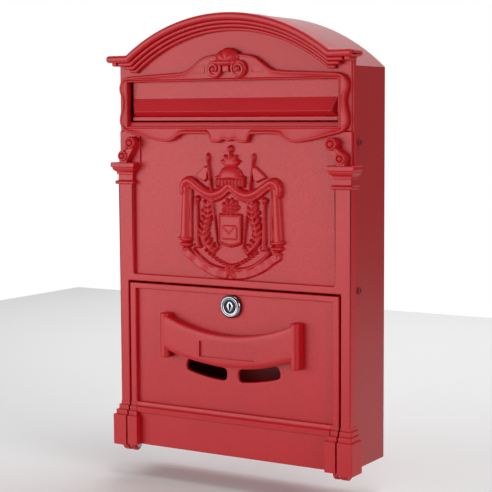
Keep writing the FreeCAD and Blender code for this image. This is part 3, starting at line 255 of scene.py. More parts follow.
def band(path, half, face, back, ease=0.6):
    """Ribbon set on edge: a section with two rounded front arrises carried along the path (x, z),
    whose sideways direction is the normal of the path. half and face may change along it."""
    path = np.asarray(path, float)
    ahead = np.gradient(path, axis=0)
    ahead = ahead / np.linalg.norm(ahead, axis=1, keepdims=True)
    side = np.column_stack([-ahead[:, 1], ahead[:, 0]])
    half = np.broadcast_to(half, (len(path),))[:, None]
    face = np.broadcast_to(face, (len(path),))[:, None]
    rounding = np.array([(0.0, 1.0)] + quarter(1.0))
    left = half - ease * rounding[:, 0]
    offset = np.hstack([-left, left[:, ::-1]])
    depth = face + ease * np.concatenate([rounding[:, 1], rounding[::-1, 1]])
    depth[:, [0, -1]] = back
    x = path[:, :1] + side[:, :1] * offset
    z = path[:, 1:] + side[:, 1:] * offset
    return stack(np.stack([x, depth, z], -1))


def circle(x, z, radius, steps=40):
    """Anticlockwise circle about (x, z): the cosine and sine of even turns, times the radius."""
    angle = np.linspace(0.0, 2 * math.pi, steps, endpoint=False)
    return np.column_stack([x + radius * np.cos(angle), z + radius * np.sin(angle)])


def rectangle(half, low, high):
    """Anticlockwise rectangle from -half to half across and from low to high."""
    return np.array([(-half, low), (half, low), (half, high), (-half, high)], float)


# ---- meshes ----------------------------------------------------------------------------------
def make_piece(name, parts, body, finish, crease=38.0):
    """One object from several closed parts, riding on a body: faces turned outwards, smooth below
    the crease angle, and shaded by the larger faces so that broad flats stay flat."""
    points, faces, start = [], [], 0
    for part_points, groups in parts:
        points.append(part_points)
        for group in groups:
            faces.extend((group + start).tolist())
        start += len(part_points)
    mesh = bpy.data.meshes.new(name)
    mesh.from_pydata(settle(np.concatenate(points)).tolist(), [], faces)
    work = bmesh.new()
    work.from_mesh(mesh)
    bmesh.ops.remove_doubles(work, verts=work.verts, dist=1e-7)
    bmesh.ops.recalc_face_normals(work, faces=work.faces)
    work.to_mesh(mesh)
    work.free()
    mesh.polygons.foreach_set("use_smooth", np.ones(len(mesh.polygons), bool))
    mesh.set_sharp_from_angle(angle=math.radians(crease))
    mesh.materials.append(finish)
    piece = bpy.data.objects.new(name, mesh)
    bpy.context.scene.collection.objects.link(piece)
    weights = piece.modifiers.new("broad_faces_lead", "WEIGHTED_NORMAL")
    weights.keep_sharp = True
    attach(piece, body)
    return piece


# ---- materials -------------------------------------------------------------------------------
def colour(code):
    """sRGB hex to linear RGBA."""
    parts = [int(code[k:k + 2], 16) / 255 for k in (1, 3, 5)]
    return [p / 12.92 if p <= 0.04045 else ((p + 0.055) / 1.055) ** 2.4 for p in parts] + [1.0]


def add_node(tree, kind, inputs=None, **settings):
    """One node: settings are its properties, inputs its values or the sockets that feed it."""
    node = tree.nodes.new(kind)
    for name, value in settings.items():
        setattr(node, name, value)
    for name, value in (inputs or {}).items():
        if isinstance(value, bpy.types.NodeSocket):
            tree.links.new(value, node.inputs[name])
        else:
            node.inputs[name].default_value = value
    return node


def per_metre(millimetres):
    """Noise scale for a grain of that size."""
    return 1000.0 / millimetres


def start_material(name):
    """Empty node material, with its tree and its Object coordinates."""
    material = bpy.data.materials.new(name)
    material.use_nodes = True
    tree = material.node_tree
    tree.nodes.clear()
    place = add_node(tree, "ShaderNodeTexCoord").outputs["Object"]
    return material, tree, place


def finish_material(tree, inputs):
    """Principled shader with these inputs, joined to the output."""
    shader = add_node(tree, "ShaderNodeBsdfPrincipled", inputs)
    add_node(tree, "ShaderNodeOutputMaterial", {"Surface": shader.outputs["BSDF"]})


def blend(tree, factor, first, second):
    """Colour between two sRGB hex colours by a factor socket."""
    node = tree.nodes.new("ShaderNodeMix")
    node.data_type = "RGBA"
    tree.links.new(factor, node.inputs["Factor"])
    node.inputs["A"].default_value = colour(first)
    node.inputs["B"].default_value = colour(second)
    return [output for output in node.outputs if output.type == "RGBA"][0]


def powder_coat(name, light, dark, grain, depth, rough):
    """Polyester powder coat, fine-texture grade: a sandy skin of small rounded grains, satin, and
    cloudier over a hand's breadth;
    a painted highlight makes the grains' tops a little lighter in colour. The grains are drawn
    about twice their real size, so that they show."""
    material, tree, place = start_material(name)
    cloud = add_node(tree, "ShaderNodeTexNoise", {"Vector": place, "Scale": per_metre(45.0),
                                                  "Detail": 2.0})
    sand = add_node(tree, "ShaderNodeTexNoise", {"Vector": place, "Scale": per_metre(grain),
                                                 "Detail": 3.0, "Roughness": 0.6})
    faint = add_node(tree, "ShaderNodeMath", {0: cloud.outputs["Fac"], 1: 0.35},
                     operation="MULTIPLY")
    # Base colour lighter where the grain's bump height is high: painted highlight on the grains'
    # tops.
    painted_grain_highlight = add_node(tree, "ShaderNodeMapRange", {"Value": sand.outputs["Fac"], "From Min": 0.35,
                                                  "From Max": 0.68, "To Min": 0.0, "To Max": 0.65})
    cloud_and_painted_grain_highlight = add_node(tree, "ShaderNodeMath", {0: faint.outputs[0], 1: painted_grain_highlight.outputs[0]},
                           operation="ADD", use_clamp=True)
    gloss = add_node(tree, "ShaderNodeMapRange", {"Value": sand.outputs["Fac"], "From Min": 0.3,
                                                  "From Max": 0.7, "To Min": rough + 0.05,
                                                  "To Max": rough - 0.05})
    bump = add_node(tree, "ShaderNodeBump", {"Height": sand.outputs["Fac"], "Strength": 0.5,
                                             "Distance": depth * 0.001})
    finish_material(tree, {"Base Color": blend(tree, cloud_and_painted_grain_highlight.outputs[0], dark, light),
                           "Roughness": gloss.outputs[0], "Normal": bump.outputs["Normal"],
                           "IOR": 1.46})
    return material


def metal(name, tint, shade, rough, grain, stretch=(1.0, 1.0, 1.0)):
    """Bare or plated metal: mirror-like, with faint drawing or plating streaks of the grain's size
    in its roughness and colour."""
    material, tree, place = start_material(name)
    turn = add_node(tree, "ShaderNodeMapping", {"Vector": place, "Scale": stretch})
    streak = add_node(tree, "ShaderNodeTexNoise", {"Vector": turn.outputs[0],
                                                   "Scale": per_metre(grain), "Detail": 3.0})
    gloss = add_node(tree, "ShaderNodeMapRange", {"Value": streak.outputs["Fac"],
                                                  "To Min": rough * 0.6, "To Max": rough * 1.4})
    finish_material(tree, {"Base Color": blend(tree, streak.outputs["Fac"], tint, shade),
                           "Metallic": 1.0, "Roughness": gloss.outputs[0]})
    return material


def nylon(name):
    """Natural nylon 6, moulded: milky, waxy, with a little light scattered below its skin."""
    material, tree, place = start_material(name)
    flow = add_node(tree, "ShaderNodeTexNoise", {"Vector": place, "Scale": per_metre(3.0)})
    finish_material(tree, {"Base Color": blend(tree, flow.outputs["Fac"], "#E6E3D6", "#D8D4C4"),
                           "Roughness": 0.42, "Subsurface Weight": 0.15,
                           "Subsurface Radius": (0.0008, 0.0008, 0.0006), "IOR": 1.53})
    return material


CAST_COAT = powder_coat("red_powder_coat_on_cast_aluminium", "#C8121F", "#A80612", 1.1, 0.10, 0.42)
SHEET_COAT = powder_coat("red_powder_coat_on_sheet_steel", "#B02026", "#9E161C", 0.8, 0.04, 0.38)
SCREW_COAT = powder_coat("red_powder_coat_on_screw_heads", "#8E1A1F", "#741318", 0.7, 0.03, 0.34)
CHROME = metal("polished_chrome_on_die_cast_zinc", "#A0A3A9", "#8B8E95", 0.06, 4.0)
# The lock plug's chrome is coloured near black: painted dark reflection, standing in for the dark
# surroundings that the chrome mirrors.
PLUG_CHROME = metal("lock_plug_chrome_darkened_as_painted_reflection", "#26272B", "#1A1B1E", 0.26, 1.2)
ZINC = metal("bright_zinc_plate", "#B9BDC4", "#A6ABB4", 0.26, 2.5)
BRIGHT_STEEL = metal("drawn_bright_steel", "#B4B6B9", "#9DA0A4", 0.22, 1.5, (0.05, 1.0, 1.0))
SPRING_STEEL = metal("blued_spring_steel", "#3C4252", "#2C303C", 0.30, 1.5)
BRASS = metal("stamped_brass", "#D9B365", "#C39C4E", 0.24, 2.0)
NYLON = nylon("natural_nylon")

NODE_FINISH = {
    "case_shell": SHEET_COAT, "back_panel": SHEET_COAT, "bottom_plate": SHEET_COAT,
    "front_casting": CAST_COAT, "door": CAST_COAT, "slot_flap": CAST_COAT,
    "side_screws": SCREW_COAT, "flap_hinge_rod": BRIGHT_STEEL, "flap_rod_clips": SPRING_STEEL,
    "door_hinge_pins": BRIGHT_STEEL, "hinge_washers": NYLON, "lock_housing": CHROME,
    "lock_nut": ZINC, "lock_plug": PLUG_CHROME, "lock_wafers": BRASS, "stop_washer": ZINC,
    "lock_cam": ZINC, "cam_screw_washer": ZINC, "cam_screw": ZINC,
}
for node_name, node_finish in NODE_FINISH.items():
    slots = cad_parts[node_name].data.materials
    slots.clear()
    slots.append(node_finish)


# ---- casting: ground, shafts and rail --------------------------------------------------------
def arch(distance, steps=72):
    """Arch and its level ends, distance mm below the outer edge: arc of ARCH_RADIUS - distance
    between the points where it meets the level EAVES - distance."""
    radius = ARCH_RADIUS - distance
    turn = math.acos((EAVES - distance - ARCH_CENTRE) / radius)
    angle = np.linspace(-turn, turn, steps)
    return np.column_stack([radius * np.sin(angle), ARCH_CENTRE + radius * np.cos(angle)])


def casting_loop(distance, foot):
    """Outline of the casting, distance mm inside it, clockwise from its left foot to its right."""
    side = BODY_HALF - distance
    ends = np.array([(-side, foot), (-side, EAVES - distance)])
    return np.vstack([ends, arch(distance), (ends * (-1, 1))[::-1]])


def casting_frame():
    """Cast front: plates for the ground over the slot, the centre panel and the pilaster frame,
    the flange whose rings follow the outline, and the rear tongue."""
    ground = casting_loop(1.0, GROUND_FOOT)[::-1]
    slot_hole = rectangle(SLOT_HALF + 1.0, SLOT_LOW - 1.0, SLOT_HIGH + FLAP_ROOM)
    upper = pad(ground, GROUND_FACE, WALL_BACK, 1.2, [slot_hole], 0.2)

    centre = pad(rectangle(SHAFT_INNER + 1.0, PANEL_BOTTOM - 2.0, GROUND_FOOT + 1.0), PANEL_FACE,
                 WALL_BACK, 0.2)

    shafts = [(-OPENING_HALF, 0.0), (-OPENING_HALF, OPENING_TOP), (OPENING_HALF, OPENING_TOP),
              (OPENING_HALF, 0.0), (BODY_HALF, 0.0), (BODY_HALF, CAPITAL_FOOT + 2),
              (SHAFT_INNER, CAPITAL_FOOT + 2), (SHAFT_INNER, PANEL_BOTTOM),
              (-SHAFT_INNER, PANEL_BOTTOM), (-SHAFT_INNER, CAPITAL_FOOT + 2),
              (-BODY_HALF, CAPITAL_FOOT + 2), (-BODY_HALF, 0.0)]
    corner = [0.05, 1.2, 1.2, 0.05, 0.05, 0.05, 0.05, 1.5, 1.5, 0.05, 0.05, 0.05]
    shafts = pad(eased(shafts, corner), PILASTER_FACE, WALL_BACK - 2.0, 1.0)

    side = [(0.0, 12.0), (0.0, CASTING_BACK), (3.0, CASTING_BACK), (3.0, 12.0)]
    loops = [upright(casting_loop(d, 0.0), y) for d, y in side]
    flange = stack(np.stack(loops, 1))
    return [upper, centre, shafts, flange, tongue()]


def tongue():
    """Thin wall that slides into the case: two sides joined by an arch, 13 mm deep."""
    rings = []
    for half, radius in ((122.3, 178.3), (119.8, 175.8)):
        spring = math.asin(half / radius)
        angle = np.linspace(-spring, spring, 60)
        top = np.column_stack([radius * np.sin(angle), ARCH_CENTRE + radius * np.cos(angle)])
        line = np.vstack([(-half, 12.2), top, (half, 12.2)])
        rings.append(line)
    outer, inner = rings
    back = CASTING_BACK + 13.0
    return stack(np.stack([upright(outer, 13.0), upright(outer, back), upright(inner, back),
                           upright(inner, 13.0)], 1))


# ---- cornice ---------------------------------------------------------------------------------
CORNICE_ROLLS = [             # (top below the edge, height, face, reach beyond the kink, roundness)
    (0.0, 6.5, -4.0, 22.9, 2.6),
    (6.2, 3.6, 0.0, 12.0, 1.5),
    (9.6, 3.5, 3.0, 7.0, 1.5),
    (12.9, 3.4, 6.0, 2.0, 1.5),
]
ROLL_BACK = 12.5
RETURN_BACK = 19.3


def cornice_roll(top, height, face, reach, roundness):
    """Half-round moulding carried along the arch and its level ends. At both ends the section
    shrinks on a quarter circle, so that the end is round."""
    end = KINK + reach
    rings = []
    rounding = quarter(roundness)

    def section(grow):
        inner = [(top + grow, ROLL_BACK)]
        inner += [(top + grow + i, face + grow + s) for i, s in rounding]
        low = top + height - grow
        inner += [(low - i, face + grow + s) for i, s in rounding[::-1]] + [(low, ROLL_BACK)]
        return np.array(inner)

    def level(x, grow):
        d = section(grow)
        return np.column_stack([np.full(len(d), x), d[:, 1], EAVES - d[:, 0]])

    d = section(0.0)
    lines = np.stack([arch(k) for k in d[:, 0]], 1)
    middle = np.concatenate([lines[..., :1], np.broadcast_to(d[:, 1], lines.shape[:2])[..., None],
                             lines[..., 1:]], -1)
    turn = np.linspace(math.pi / 2, 0.0, FINE)
    nose = min(height / 2 - 0.2, roundness)
    left = [level(-end + nose * (1 - math.sin(a)), nose * (1 - math.cos(a))) for a in turn]
    right = [ring * (-1, 1, 1) for ring in left[::-1]]
    return stack(np.concatenate([np.stack(left), middle, np.stack(right)]))


def cornice():
    """Four rolls stepped down the arch, and the blocks that return them along the sides."""
    parts = [cornice_roll(*roll) for roll in CORNICE_ROLLS]
    top, height, face, reach, roundness = CORNICE_ROLLS[0]
    end = KINK + reach
    side_return = rounded_box((BODY_HALF - 1.0, face + 0.3, EAVES - height + 0.2),
                              (end + 0.1, RETURN_BACK, EAVES - 0.2), 2.9)
    lower = rounded_box((BODY_HALF - 4.0, 0.4, EAVES - 9.8), (BODY_HALF + 1.8, 15.0, EAVES - 5.5),
                        1.5)
    return parts + both([side_return, lower])


# ---- slot surround ---------------------------------------------------------------------------
SURROUND_FACE = 5.0
SURROUND_TOP = [(0.0, 373.0), (12.0, 373.0), (20.0, 372.3), (28.5, 370.0), (36.5, 364.6),
                (44.5, 359.4), (53.0, 357.4), (80.0, 356.0), (106.0, 354.8), (113.5, 354.0)]
SURROUND_SIDE = [(118.6, 351.6), (121.6, 346.5), (121.9, 341.0), (119.9, 334.5), (119.2, 329.5),
                 (120.2, 323.0), (121.8, 316.0), (121.6, 310.0), (118.6, 304.5)]
SURROUND_FOOT = [(113.5, 301.6), (98.0, 298.0), (83.0, 294.8), (69.0, 293.1), (60.5, 295.2),
                 (53.5, 299.4), (47.0, 300.5), (27.0, 300.4), (22.5, 299.6), (20.6, 295.4),
                 (18.6, 293.0), (11.5, 292.7), (5.5, 295.4), (0.0, 293.8)]
SURROUND_COUNTS = (150, 60, 150)


def surround_loop():
    """Right half of the scalloped edge from the top middle to the foot middle, then mirrored."""
    line = smooth_line(SURROUND_TOP + SURROUND_SIDE + SURROUND_FOOT)
    to_side = 8 * len(SURROUND_TOP)
    joints = [0, to_side, to_side + 8 * len(SURROUND_SIDE) - 8, len(line) - 1]
    parts = [resampled(line[a:b + 1], count)[:-1] for a, b, count in
             zip(joints[:-1], joints[1:], SURROUND_COUNTS)]
    right = np.vstack(parts + [line[-1:]])
    return np.vstack([right, (right * (-1, 1))[-2:0:-1]])[::-1]


def opening_loop(grow):
    """Slot rectangle grown by grow mm, with as many points as the scalloped edge, side for side."""
    half, low, high = SLOT_HALF + grow, SLOT_LOW - grow, SLOT_HIGH + grow
    top, side, foot = SURROUND_COUNTS
    corners = [((0.0, high), (half, high), top), ((half, high), (half, low), side),
               ((half, low), (0.0, low), foot)]
    parts = [np.linspace(a, b, count)[:-1] for a, b, count in corners]
    right = np.vstack(parts + [[(0.0, low)]])
    return np.vstack([right, (right * (-1, 1))[-2:0:-1]])[::-1]


def slot_surround():
    """Plate between the scalloped edge and the slot. Across it run a rounded outer ridge, a
    shallow valley and a thin bead round the opening, which then goes back as the slot's wall."""
    edge = surround_loop()
    rim = opening_loop(0.0)
    ridge = [(0.0, GROUND_FACE + 0.3), (0.0, SURROUND_FACE + 1.6), (0.25, SURROUND_FACE + 0.7),
             (0.9, SURROUND_FACE + 0.15), (1.6, SURROUND_FACE), (2.2, SURROUND_FACE + 0.15),
             (2.8, SURROUND_FACE + 0.6)]
    bead = [(3.1, 1.3), (2.3, 1.15), (1.9, 0.55), (1.3, 0.1), (0.7, 0.1), (0.2, 0.5), (0.0, 1.1)]
    rings = [upright(inset(edge, d), y) for d, y in ridge]
    rings += [upright(opening_loop(d), SURROUND_FACE + y) for d, y in bead]
    back = np.where(rim[:, 1] > SLOT_HIGH - 0.01, SLOT_WALL_TOP_BACK, SLOT_WALL_BACK)
    rings += [upright(rim, back), upright(opening_loop(1.2), back),
              upright(opening_loop(2.4), GROUND_FACE + 0.3)]
    points = np.stack(rings)
    return lattice(points, closed_u=True, closed_v=True)


def sill():
    """Foot of the slot: a flat ledge behind the bead and a low step up to the flap."""
    half = SLOT_HALF + 0.8
    return bar_x([(6.6, SLOT_LOW - 1.0), (6.6, SLOT_LOW + 0.2), (9.0, SLOT_LOW + 0.5),
                  (9.4, SLOT_LOW + 3.4), (9.9, SLOT_LOW + 4.0), (10.4, SLOT_LOW + 4.0),
                  (10.4, SLOT_LOW - 1.0)], -half, half)


# ---- ornaments of the casting ----------------------------------------------------------------
def spiral(x, z, outer, inner, turns, start, steps=60):
    """Spiral line about (x, z): radius falls evenly from outer to inner while it turns."""
    share = np.linspace(0.0, 1.0, steps)
    radius = outer + (inner - outer) * share
    angle = start + turns * 2 * math.pi * share
    return np.column_stack([x + radius * np.cos(angle), z + radius * np.sin(angle)])


def volute():
    """Right-hand volute over the slot: a backing disc, a rising spiral ribbon and a domed eye."""
    x, z = 12.9, 359.4
    steps = 60
    line = spiral(x, z, 6.9, 2.9, 1.2, math.radians(150), steps)
    rise = np.linspace(1.6, 0.4, steps)
    ribbon = band(line, np.linspace(1.3, 1.0, steps), rise, 7.0, 0.75)
    disc = turned([(0.01, 7.0), (7.9, 7.0), (7.9, 3.4), (7.5, 2.8), (6.6, 2.5), (0.01, 2.4)], x, z)
    eye = turned([(0.01, 6.0), (2.7, 6.0), (2.7, 1.4), (2.5, 0.5), (1.9, -0.2), (1.0, -0.6),
                  (0.01, -0.7)], x, z, 32)
    return [ribbon, disc, eye]


def shell_fan():
    """Fluted half dome over the volutes: bulge is the root of 1 - (r / R)^2, and seven flutes
    scallop both its edge and its relief."""
    r = np.linspace(0.0, 1.0, 26)[:, None]
    angle = np.linspace(math.radians(-25), math.radians(205), 120)[None]
    flute = np.abs(np.cos(3.5 * (angle - math.pi / 2)))
    radius = 12.6 + 0.9 * flute
    bulge = 7.0 * np.sqrt(1 - r ** 2 * 0.98) * (0.78 + 0.22 * flute * r)
    x = radius * r * np.cos(angle)
    z = 366.6 + radius * r * np.sin(angle) * 0.9
    front = np.stack([x, 6.4 - bulge, z], -1)
    rim = front[-1] * (1, 0, 1) + (0, 8.0, 0)
    rings = np.concatenate([front, rim[None]])
    return stack(rings)


def centre_block():
    """Block between the volutes and the bar over them, both with round edges."""
    return [rounded_box((-3.4, 1.6, 356.8), (3.4, 8.0, 362.6), 0.9),
            rounded_box((-6.0, -0.4, 363.4), (6.0, 8.0, 367.0), 1.5)]


def corner_sprig():
    """Fine raised outline of a quarter leaf beside the right-hand volute."""
    line = smooth_line([(25.6, 356.2), (25.6, 362.6), (28.4, 362.9), (33.0, 361.4), (37.2, 358.2),
                        (38.0, 356.4), (34.0, 356.1), (25.9, 356.1)], 5)
    return band(line, 0.28, SURROUND_FACE + 0.62, GROUND_FACE, 0.12)


CONSOLE_SCROLLS = [           # (x, z, radius, face) of the two scrolls
    (107.6, 292.2, 5.9, 0.4),
    (116.6, 279.6, 5.3, 0.7),
]
CONSOLE_BACK = 12.0


def scroll(x, z, radius, face):
    """Scroll seen from its end: a disc with a rounded rim, a groove and a domed eye."""
    profile = [(1.0, 2.2), (0.97, 1.2), (0.88, 0.4), (0.76, 0.0), (0.66, 0.1), (0.56, 0.9),
               (0.47, 1.3), (0.44, 0.5), (0.38, -0.3), (0.24, -0.8), (0.01, -1.0)]
    rows = [(0.01 * radius, CONSOLE_BACK), (radius, CONSOLE_BACK)]
    return turned(rows + [(r * radius, face + y) for r, y in profile], x, z)


def console():
    """Right-hand S scroll on the capital: two scrolls joined by a thick neck, on a plain pad."""
    scrolls = [scroll(*values) for values in CONSOLE_SCROLLS]
    line = smooth_line([(111.4, 287.8), (113.6, 286.4), (116.4, 284.2), (118.6, 282.4)], 6)
    neck = band(line, 1.5, 0.9, CONSOLE_BACK, 1.1)
    web = pad([(103.0, 289.0), (112.0, 275.0), (112.4, 272.0), (121.0, 272.0), (121.6, 280.0),
               (118.6, 284.0), (112.6, 288.6), (109.0, 290.0)], 2.6, CONSOLE_BACK, 1.0)
    ground = pad([(101.3, 271.0), (BODY_HALF - 0.6, 271.0), (BODY_HALF - 0.6, 303.0),
                  (101.3, 303.0)], 9.4, 12.5, 0.7)
    return scrolls + [neck, web, ground]


# ---- square mouldings ------------------------------------------------------------------------
def corner_ring(inner, outer, face, height, corner=0.9):
    """Plan of a moulding round the right-hand front corner, at one height, the corner eased."""
    s = np.linspace(0.0, 1.0, FINE)[:, None]
    a, b, c = np.array([(outer - corner, face), (outer, face), (outer, face + corner)])
    bend = (1 - s) ** 2 * a + 2 * s * (1 - s) * b + s ** 2 * c
    plan = np.vstack([[(inner, face)], bend, [(outer, BLOCK_BACK), (123.7, BLOCK_BACK),
                                              (123.7, 12.6), (inner, 12.6)]])
    return np.column_stack([plan, np.full(len(plan), height)])


def nosed(steps, nose=0.7):
    """Rows (setback, height) up a pile of slabs (bottom, top, setback), each with a rounded top."""
    rows = []
    for low, high, setback in steps:
        rows.append((setback, low))
        rows += [(setback + i, high - nose + (nose - s)) for i, s in quarter(nose)]
    return rows


PLINTH = [(0.0, 29.5, 0.0), (29.5, 34.0, 1.7), (34.0, 38.7, 3.4), (38.7, 42.3, 4.8)]
PLINTH_FACE_SLOPE = 1.4       # face set back this many times the side


def plinth():
    """Right-hand end of the plinth: corner rings up the nosed slabs, each set in with its slab,
    and the hinge lug below."""
    rings = [corner_ring(OPENING_HALF, BLOCK_HALF - i, i * PLINTH_FACE_SLOPE, z)
             for i, z in nosed(PLINTH)]
    ear = rounded_lug(OPENING_HALF, OPENING_HALF + 7.5)
    return [stack(rings), ear]


def rounded_lug(x0, x1):
    """Hinge lug: a U-shaped cheek round the pin, with eased edges."""
    angle = np.linspace(0.0, -math.pi, 20)
    bend = np.column_stack([HINGE_DEPTH + LUG_RADIUS * np.cos(angle), LUG_RADIUS * np.sin(angle)])
    outline = np.vstack([bend, [(HINGE_DEPTH - LUG_RADIUS, 5.0), (HINGE_DEPTH + LUG_RADIUS, 5.0)]])
    ease = quarter(0.8, 4)
    rings = []
    for x, sign in ((x0, 1), (x1, -1)):
        rows = [(i, x + sign * s) for i, s in (ease[::-1] if sign > 0 else ease)]
        for i, at in rows:
            ring = inset(outline[::-1], i)
            rings.append(np.column_stack([np.full(len(ring), at), ring]))
    return stack(rings)


CAPITAL = [                   # (overhang beyond the shaft, height) up the capital
    (-0.6, 250.0), (-0.6, 252.3), (0.5, 252.5), (1.8, 252.7), (2.3, 253.3), (2.4, 254.4),
    (2.1, 255.4), (1.4, 256.0), (0.4, 256.3), (0.12, 257.0), (0.12, 261.3), (0.4, 261.8),
    (1.1, 262.0), (1.2, 263.9), (1.5, 264.5), (2.4, 265.0), (3.3, 266.0), (3.9, 267.2),
    (4.0, 268.4), (4.6, 268.8), (5.1, 269.2), (5.2, 269.9), (5.2, 272.5), (4.9, 273.1),
    (4.3, 273.4),
]
CAPITAL_FACE_SLOPE = 1.15     # face set forward this many times the side


def capital():
    """Right-hand capital: corner rings that grow by the overhang at each height."""
    return stack([corner_ring(SHAFT_INNER - over, BODY_HALF + over,
                              PILASTER_FACE - over * CAPITAL_FACE_SLOPE, height, 0.5)
                  for over, height in CAPITAL])


# ---- relief on the centre panel --------------------------------------------------------------
RELIEF_CELL = 0.55
RELIEF_HALF = 61.0
RELIEF_LOW = 165.5
RELIEF_HIGH = 292.0
SUNK = -0.5                   # relief outside its figures, just below the panel


def rod(x, z, start, end, radius, height, taper=1.0):
    """Relief of a round rod between two points: a half circle over the distance from its line,
    scaled to height. taper is the radius at the end as a share of the start."""
    (x0, z0), (x1, z1) = start, end
    along = ((x - x0) * (x1 - x0) + (z - z0) * (z1 - z0)) / ((x1 - x0) ** 2 + (z1 - z0) ** 2)
    t = np.clip(along, 0.0, 1.0)
    away = np.hypot(x - x0 - t * (x1 - x0), z - z0 - t * (z1 - z0))
    size = radius * (1 + (taper - 1) * t)
    return np.where(away < size, height * np.sqrt(np.clip(1 - (away / size) ** 2, 0, 1)), SUNK)


def bead(x, z, centre, radius_x, radius_z, height, sharp=0.5):
    """Relief of a dome: height times a power of 1 - the squared distance in radii."""
    away = ((x - centre[0]) / radius_x) ** 2 + ((z - centre[1]) / radius_z) ** 2
    return np.where(away < 1, height * np.clip(1 - away, 0, 1) ** sharp, SUNK)


def slab(x, z, outline, height, ease):
    """Relief of a flat slab with eased edges: height times the root of the distance to the nearest
    side of a convex anticlockwise outline, up to ease."""
    outline = np.asarray(outline, float)
    depth = np.full(x.shape, 1e9)
    for (ax, az), (bx, bz) in zip(outline, np.roll(outline, -1, 0)):
        length = math.hypot(bx - ax, bz - az)
        depth = np.minimum(depth, ((bx - ax) * (z - az) - (bz - az) * (x - ax)) / length)
    return np.where(depth > 0, height * np.sqrt(np.clip(depth / ease, 0, 1)), SUNK)


def cord_relief(x, z, knots, radius, height):
    """Relief of a round cord along a smooth line: the highest of the rods between its points."""
    line = smooth_line(knots, 5)
    relief = np.full(x.shape, SUNK)
    for a, b in zip(line[:-1], line[1:]):
        relief = np.maximum(relief, rod(x, z, a, b, radius, height))
    return relief


def strip_relief(x, z, knots, half, height, folds=0.0, fold_step=8.0):
    """Relief of a ribbon laid along a smooth line: flat across its width with eased edges, and
    waved along its length by a sine of fold_step."""
    line = smooth_line(knots, 6)
    best = np.full(x.shape, 1e9)
    along = np.zeros(x.shape)
    run = 0.0
    for (ax, az), (bx, bz) in zip(line[:-1], line[1:]):
        length = math.hypot(bx - ax, bz - az)
        t = np.clip(((x - ax) * (bx - ax) + (z - az) * (bz - az)) / length ** 2, 0, 1)
        away = np.hypot(x - ax - t * (bx - ax), z - az - t * (bz - az))
        along = np.where(away < best, run + t * length, along)
        best = np.minimum(best, away)
        run += length
    edge = np.clip((half - best) / 0.9, 0, 1)
    wave = folds * np.sin(2 * math.pi * along / fold_step)
    return np.where(best < half, (height + wave) * np.sqrt(edge), SUNK)


def leaf(x, z, base, angle, length, width, height):
    """Relief of a leaf: width falls as a sine from base to tip, with a ridge along its midrib."""
    c, s = math.cos(angle), math.sin(angle)
    u = ((x - base[0]) * c + (z - base[1]) * s) / length
    v = (-(x - base[0]) * s + (z - base[1]) * c) / width
    reach = np.sin(math.pi * np.clip(u, 0, 1) ** 0.8)
    inside = (u > 0) & (u < 1) & (np.abs(v) < reach)
    roof = np.clip(1 - np.abs(v) / np.maximum(reach, 1e-3), 0, 1)
    return np.where(inside, height * (0.35 + 0.65 * roof ** 0.7), SUNK)


def hung_cloth(x, z):
    """Side curtains of the canopy: a fall rolled into one smooth fold, with a narrow pleat beside
    it, that widens towards a gathered hem over a short tail, mirrored on both sides."""
    side = np.abs(x)
    drop = np.clip((250.0 - z) / 50.0, 0, 1)
    fold = rod(side, z, (48.6, 250.0), (50.6, 204.0), 4.3, 5.2, 1.25)
    pleat = rod(side, z, (43.4, 250.0), (43.8, 205.0), 1.6, 2.9, 1.3)
    web = np.where((np.abs(side - 46.5 - drop) < 5.0) & (z > 204.0) & (z < 250.0), 1.8, SUNK)
    gathers = np.max([rod(side, z, (44.4, 202.4), (55.0, 203.4), 2.2, 5.8),
                      rod(side, z, (44.8, 197.6), (53.8, 197.8), 2.2, 4.8),
                      rod(side, z, (46.6, 193.4), (52.0, 193.0), 1.9, 3.9),
                      leaf(side, z, (49.2, 196.0), math.radians(-92), 8.0, 2.6, 3.4)], axis=0)
    return np.max([fold, pleat, web, gathers], axis=0)


def canopy(x, z):
    """Swagged valance: a thick roll from each top corner that dips and meets in the middle, with a
    thinner cord below it."""
    side = np.abs(x)
    roll = cord_relief(side, z, [(51.2, 246.5), (51.6, 251.6), (48.9, 256.4), (43.8, 257.2),
                                 (37.0, 253.2), (28.5, 247.8), (19.0, 245.2), (9.0, 247.8),
                                 (1.6, 253.4)], 4.1, 6.2)
    under = cord_relief(side, z, [(47.5, 249.5), (44.5, 252.4), (38.5, 249.6), (29.5, 243.2),
                                  (18.5, 239.8), (8.5, 243.0), (0.0, 249.6)], 1.5, 4.6)
    web = cord_relief(side, z, [(48.0, 252.5), (43.6, 254.8), (37.0, 250.6), (28.5, 244.6),
                                (19.0, 241.6), (9.0, 244.6), (1.0, 250.4)], 3.0, 3.6)
    return np.maximum(np.maximum(roll, under), web)


def crown_dome(x, z):
    """Ribbed drum and plain dome that gather the canopy, under a ball finial on a short neck."""
    side = np.abs(x)
    drum = slab(x, z, [(-16.0, 252.0), (16.0, 252.0), (15.6, 260.2), (-15.6, 260.2)], 4.2, 1.2)
    drum = np.where(drum > 0, drum + 0.9 * np.cos(x * 2 * math.pi / 3.6), drum)
    ring = rod(x, z, (-14.6, 261.0), (14.6, 261.0), 1.5, 5.0)
    dome = np.where(z > 261.0, bead(x, z, (0.0, 261.0), 13.4, 11.0, 5.6), SUNK)
    collar = rod(x, z, (-4.2, 272.4), (4.2, 272.4), 1.2, 4.0)
    petals = [leaf(side, z, (0.0, 273.0), math.radians(a), 11.5, 3.6, 4.4) for a in (90, 52, 18)]
    ball = bead(x, z, (0.0, 287.0), 3.6, 3.6, 5.0)
    parts = [drum, ring, dome, collar, ball] + petals
    return np.max(parts, axis=0)


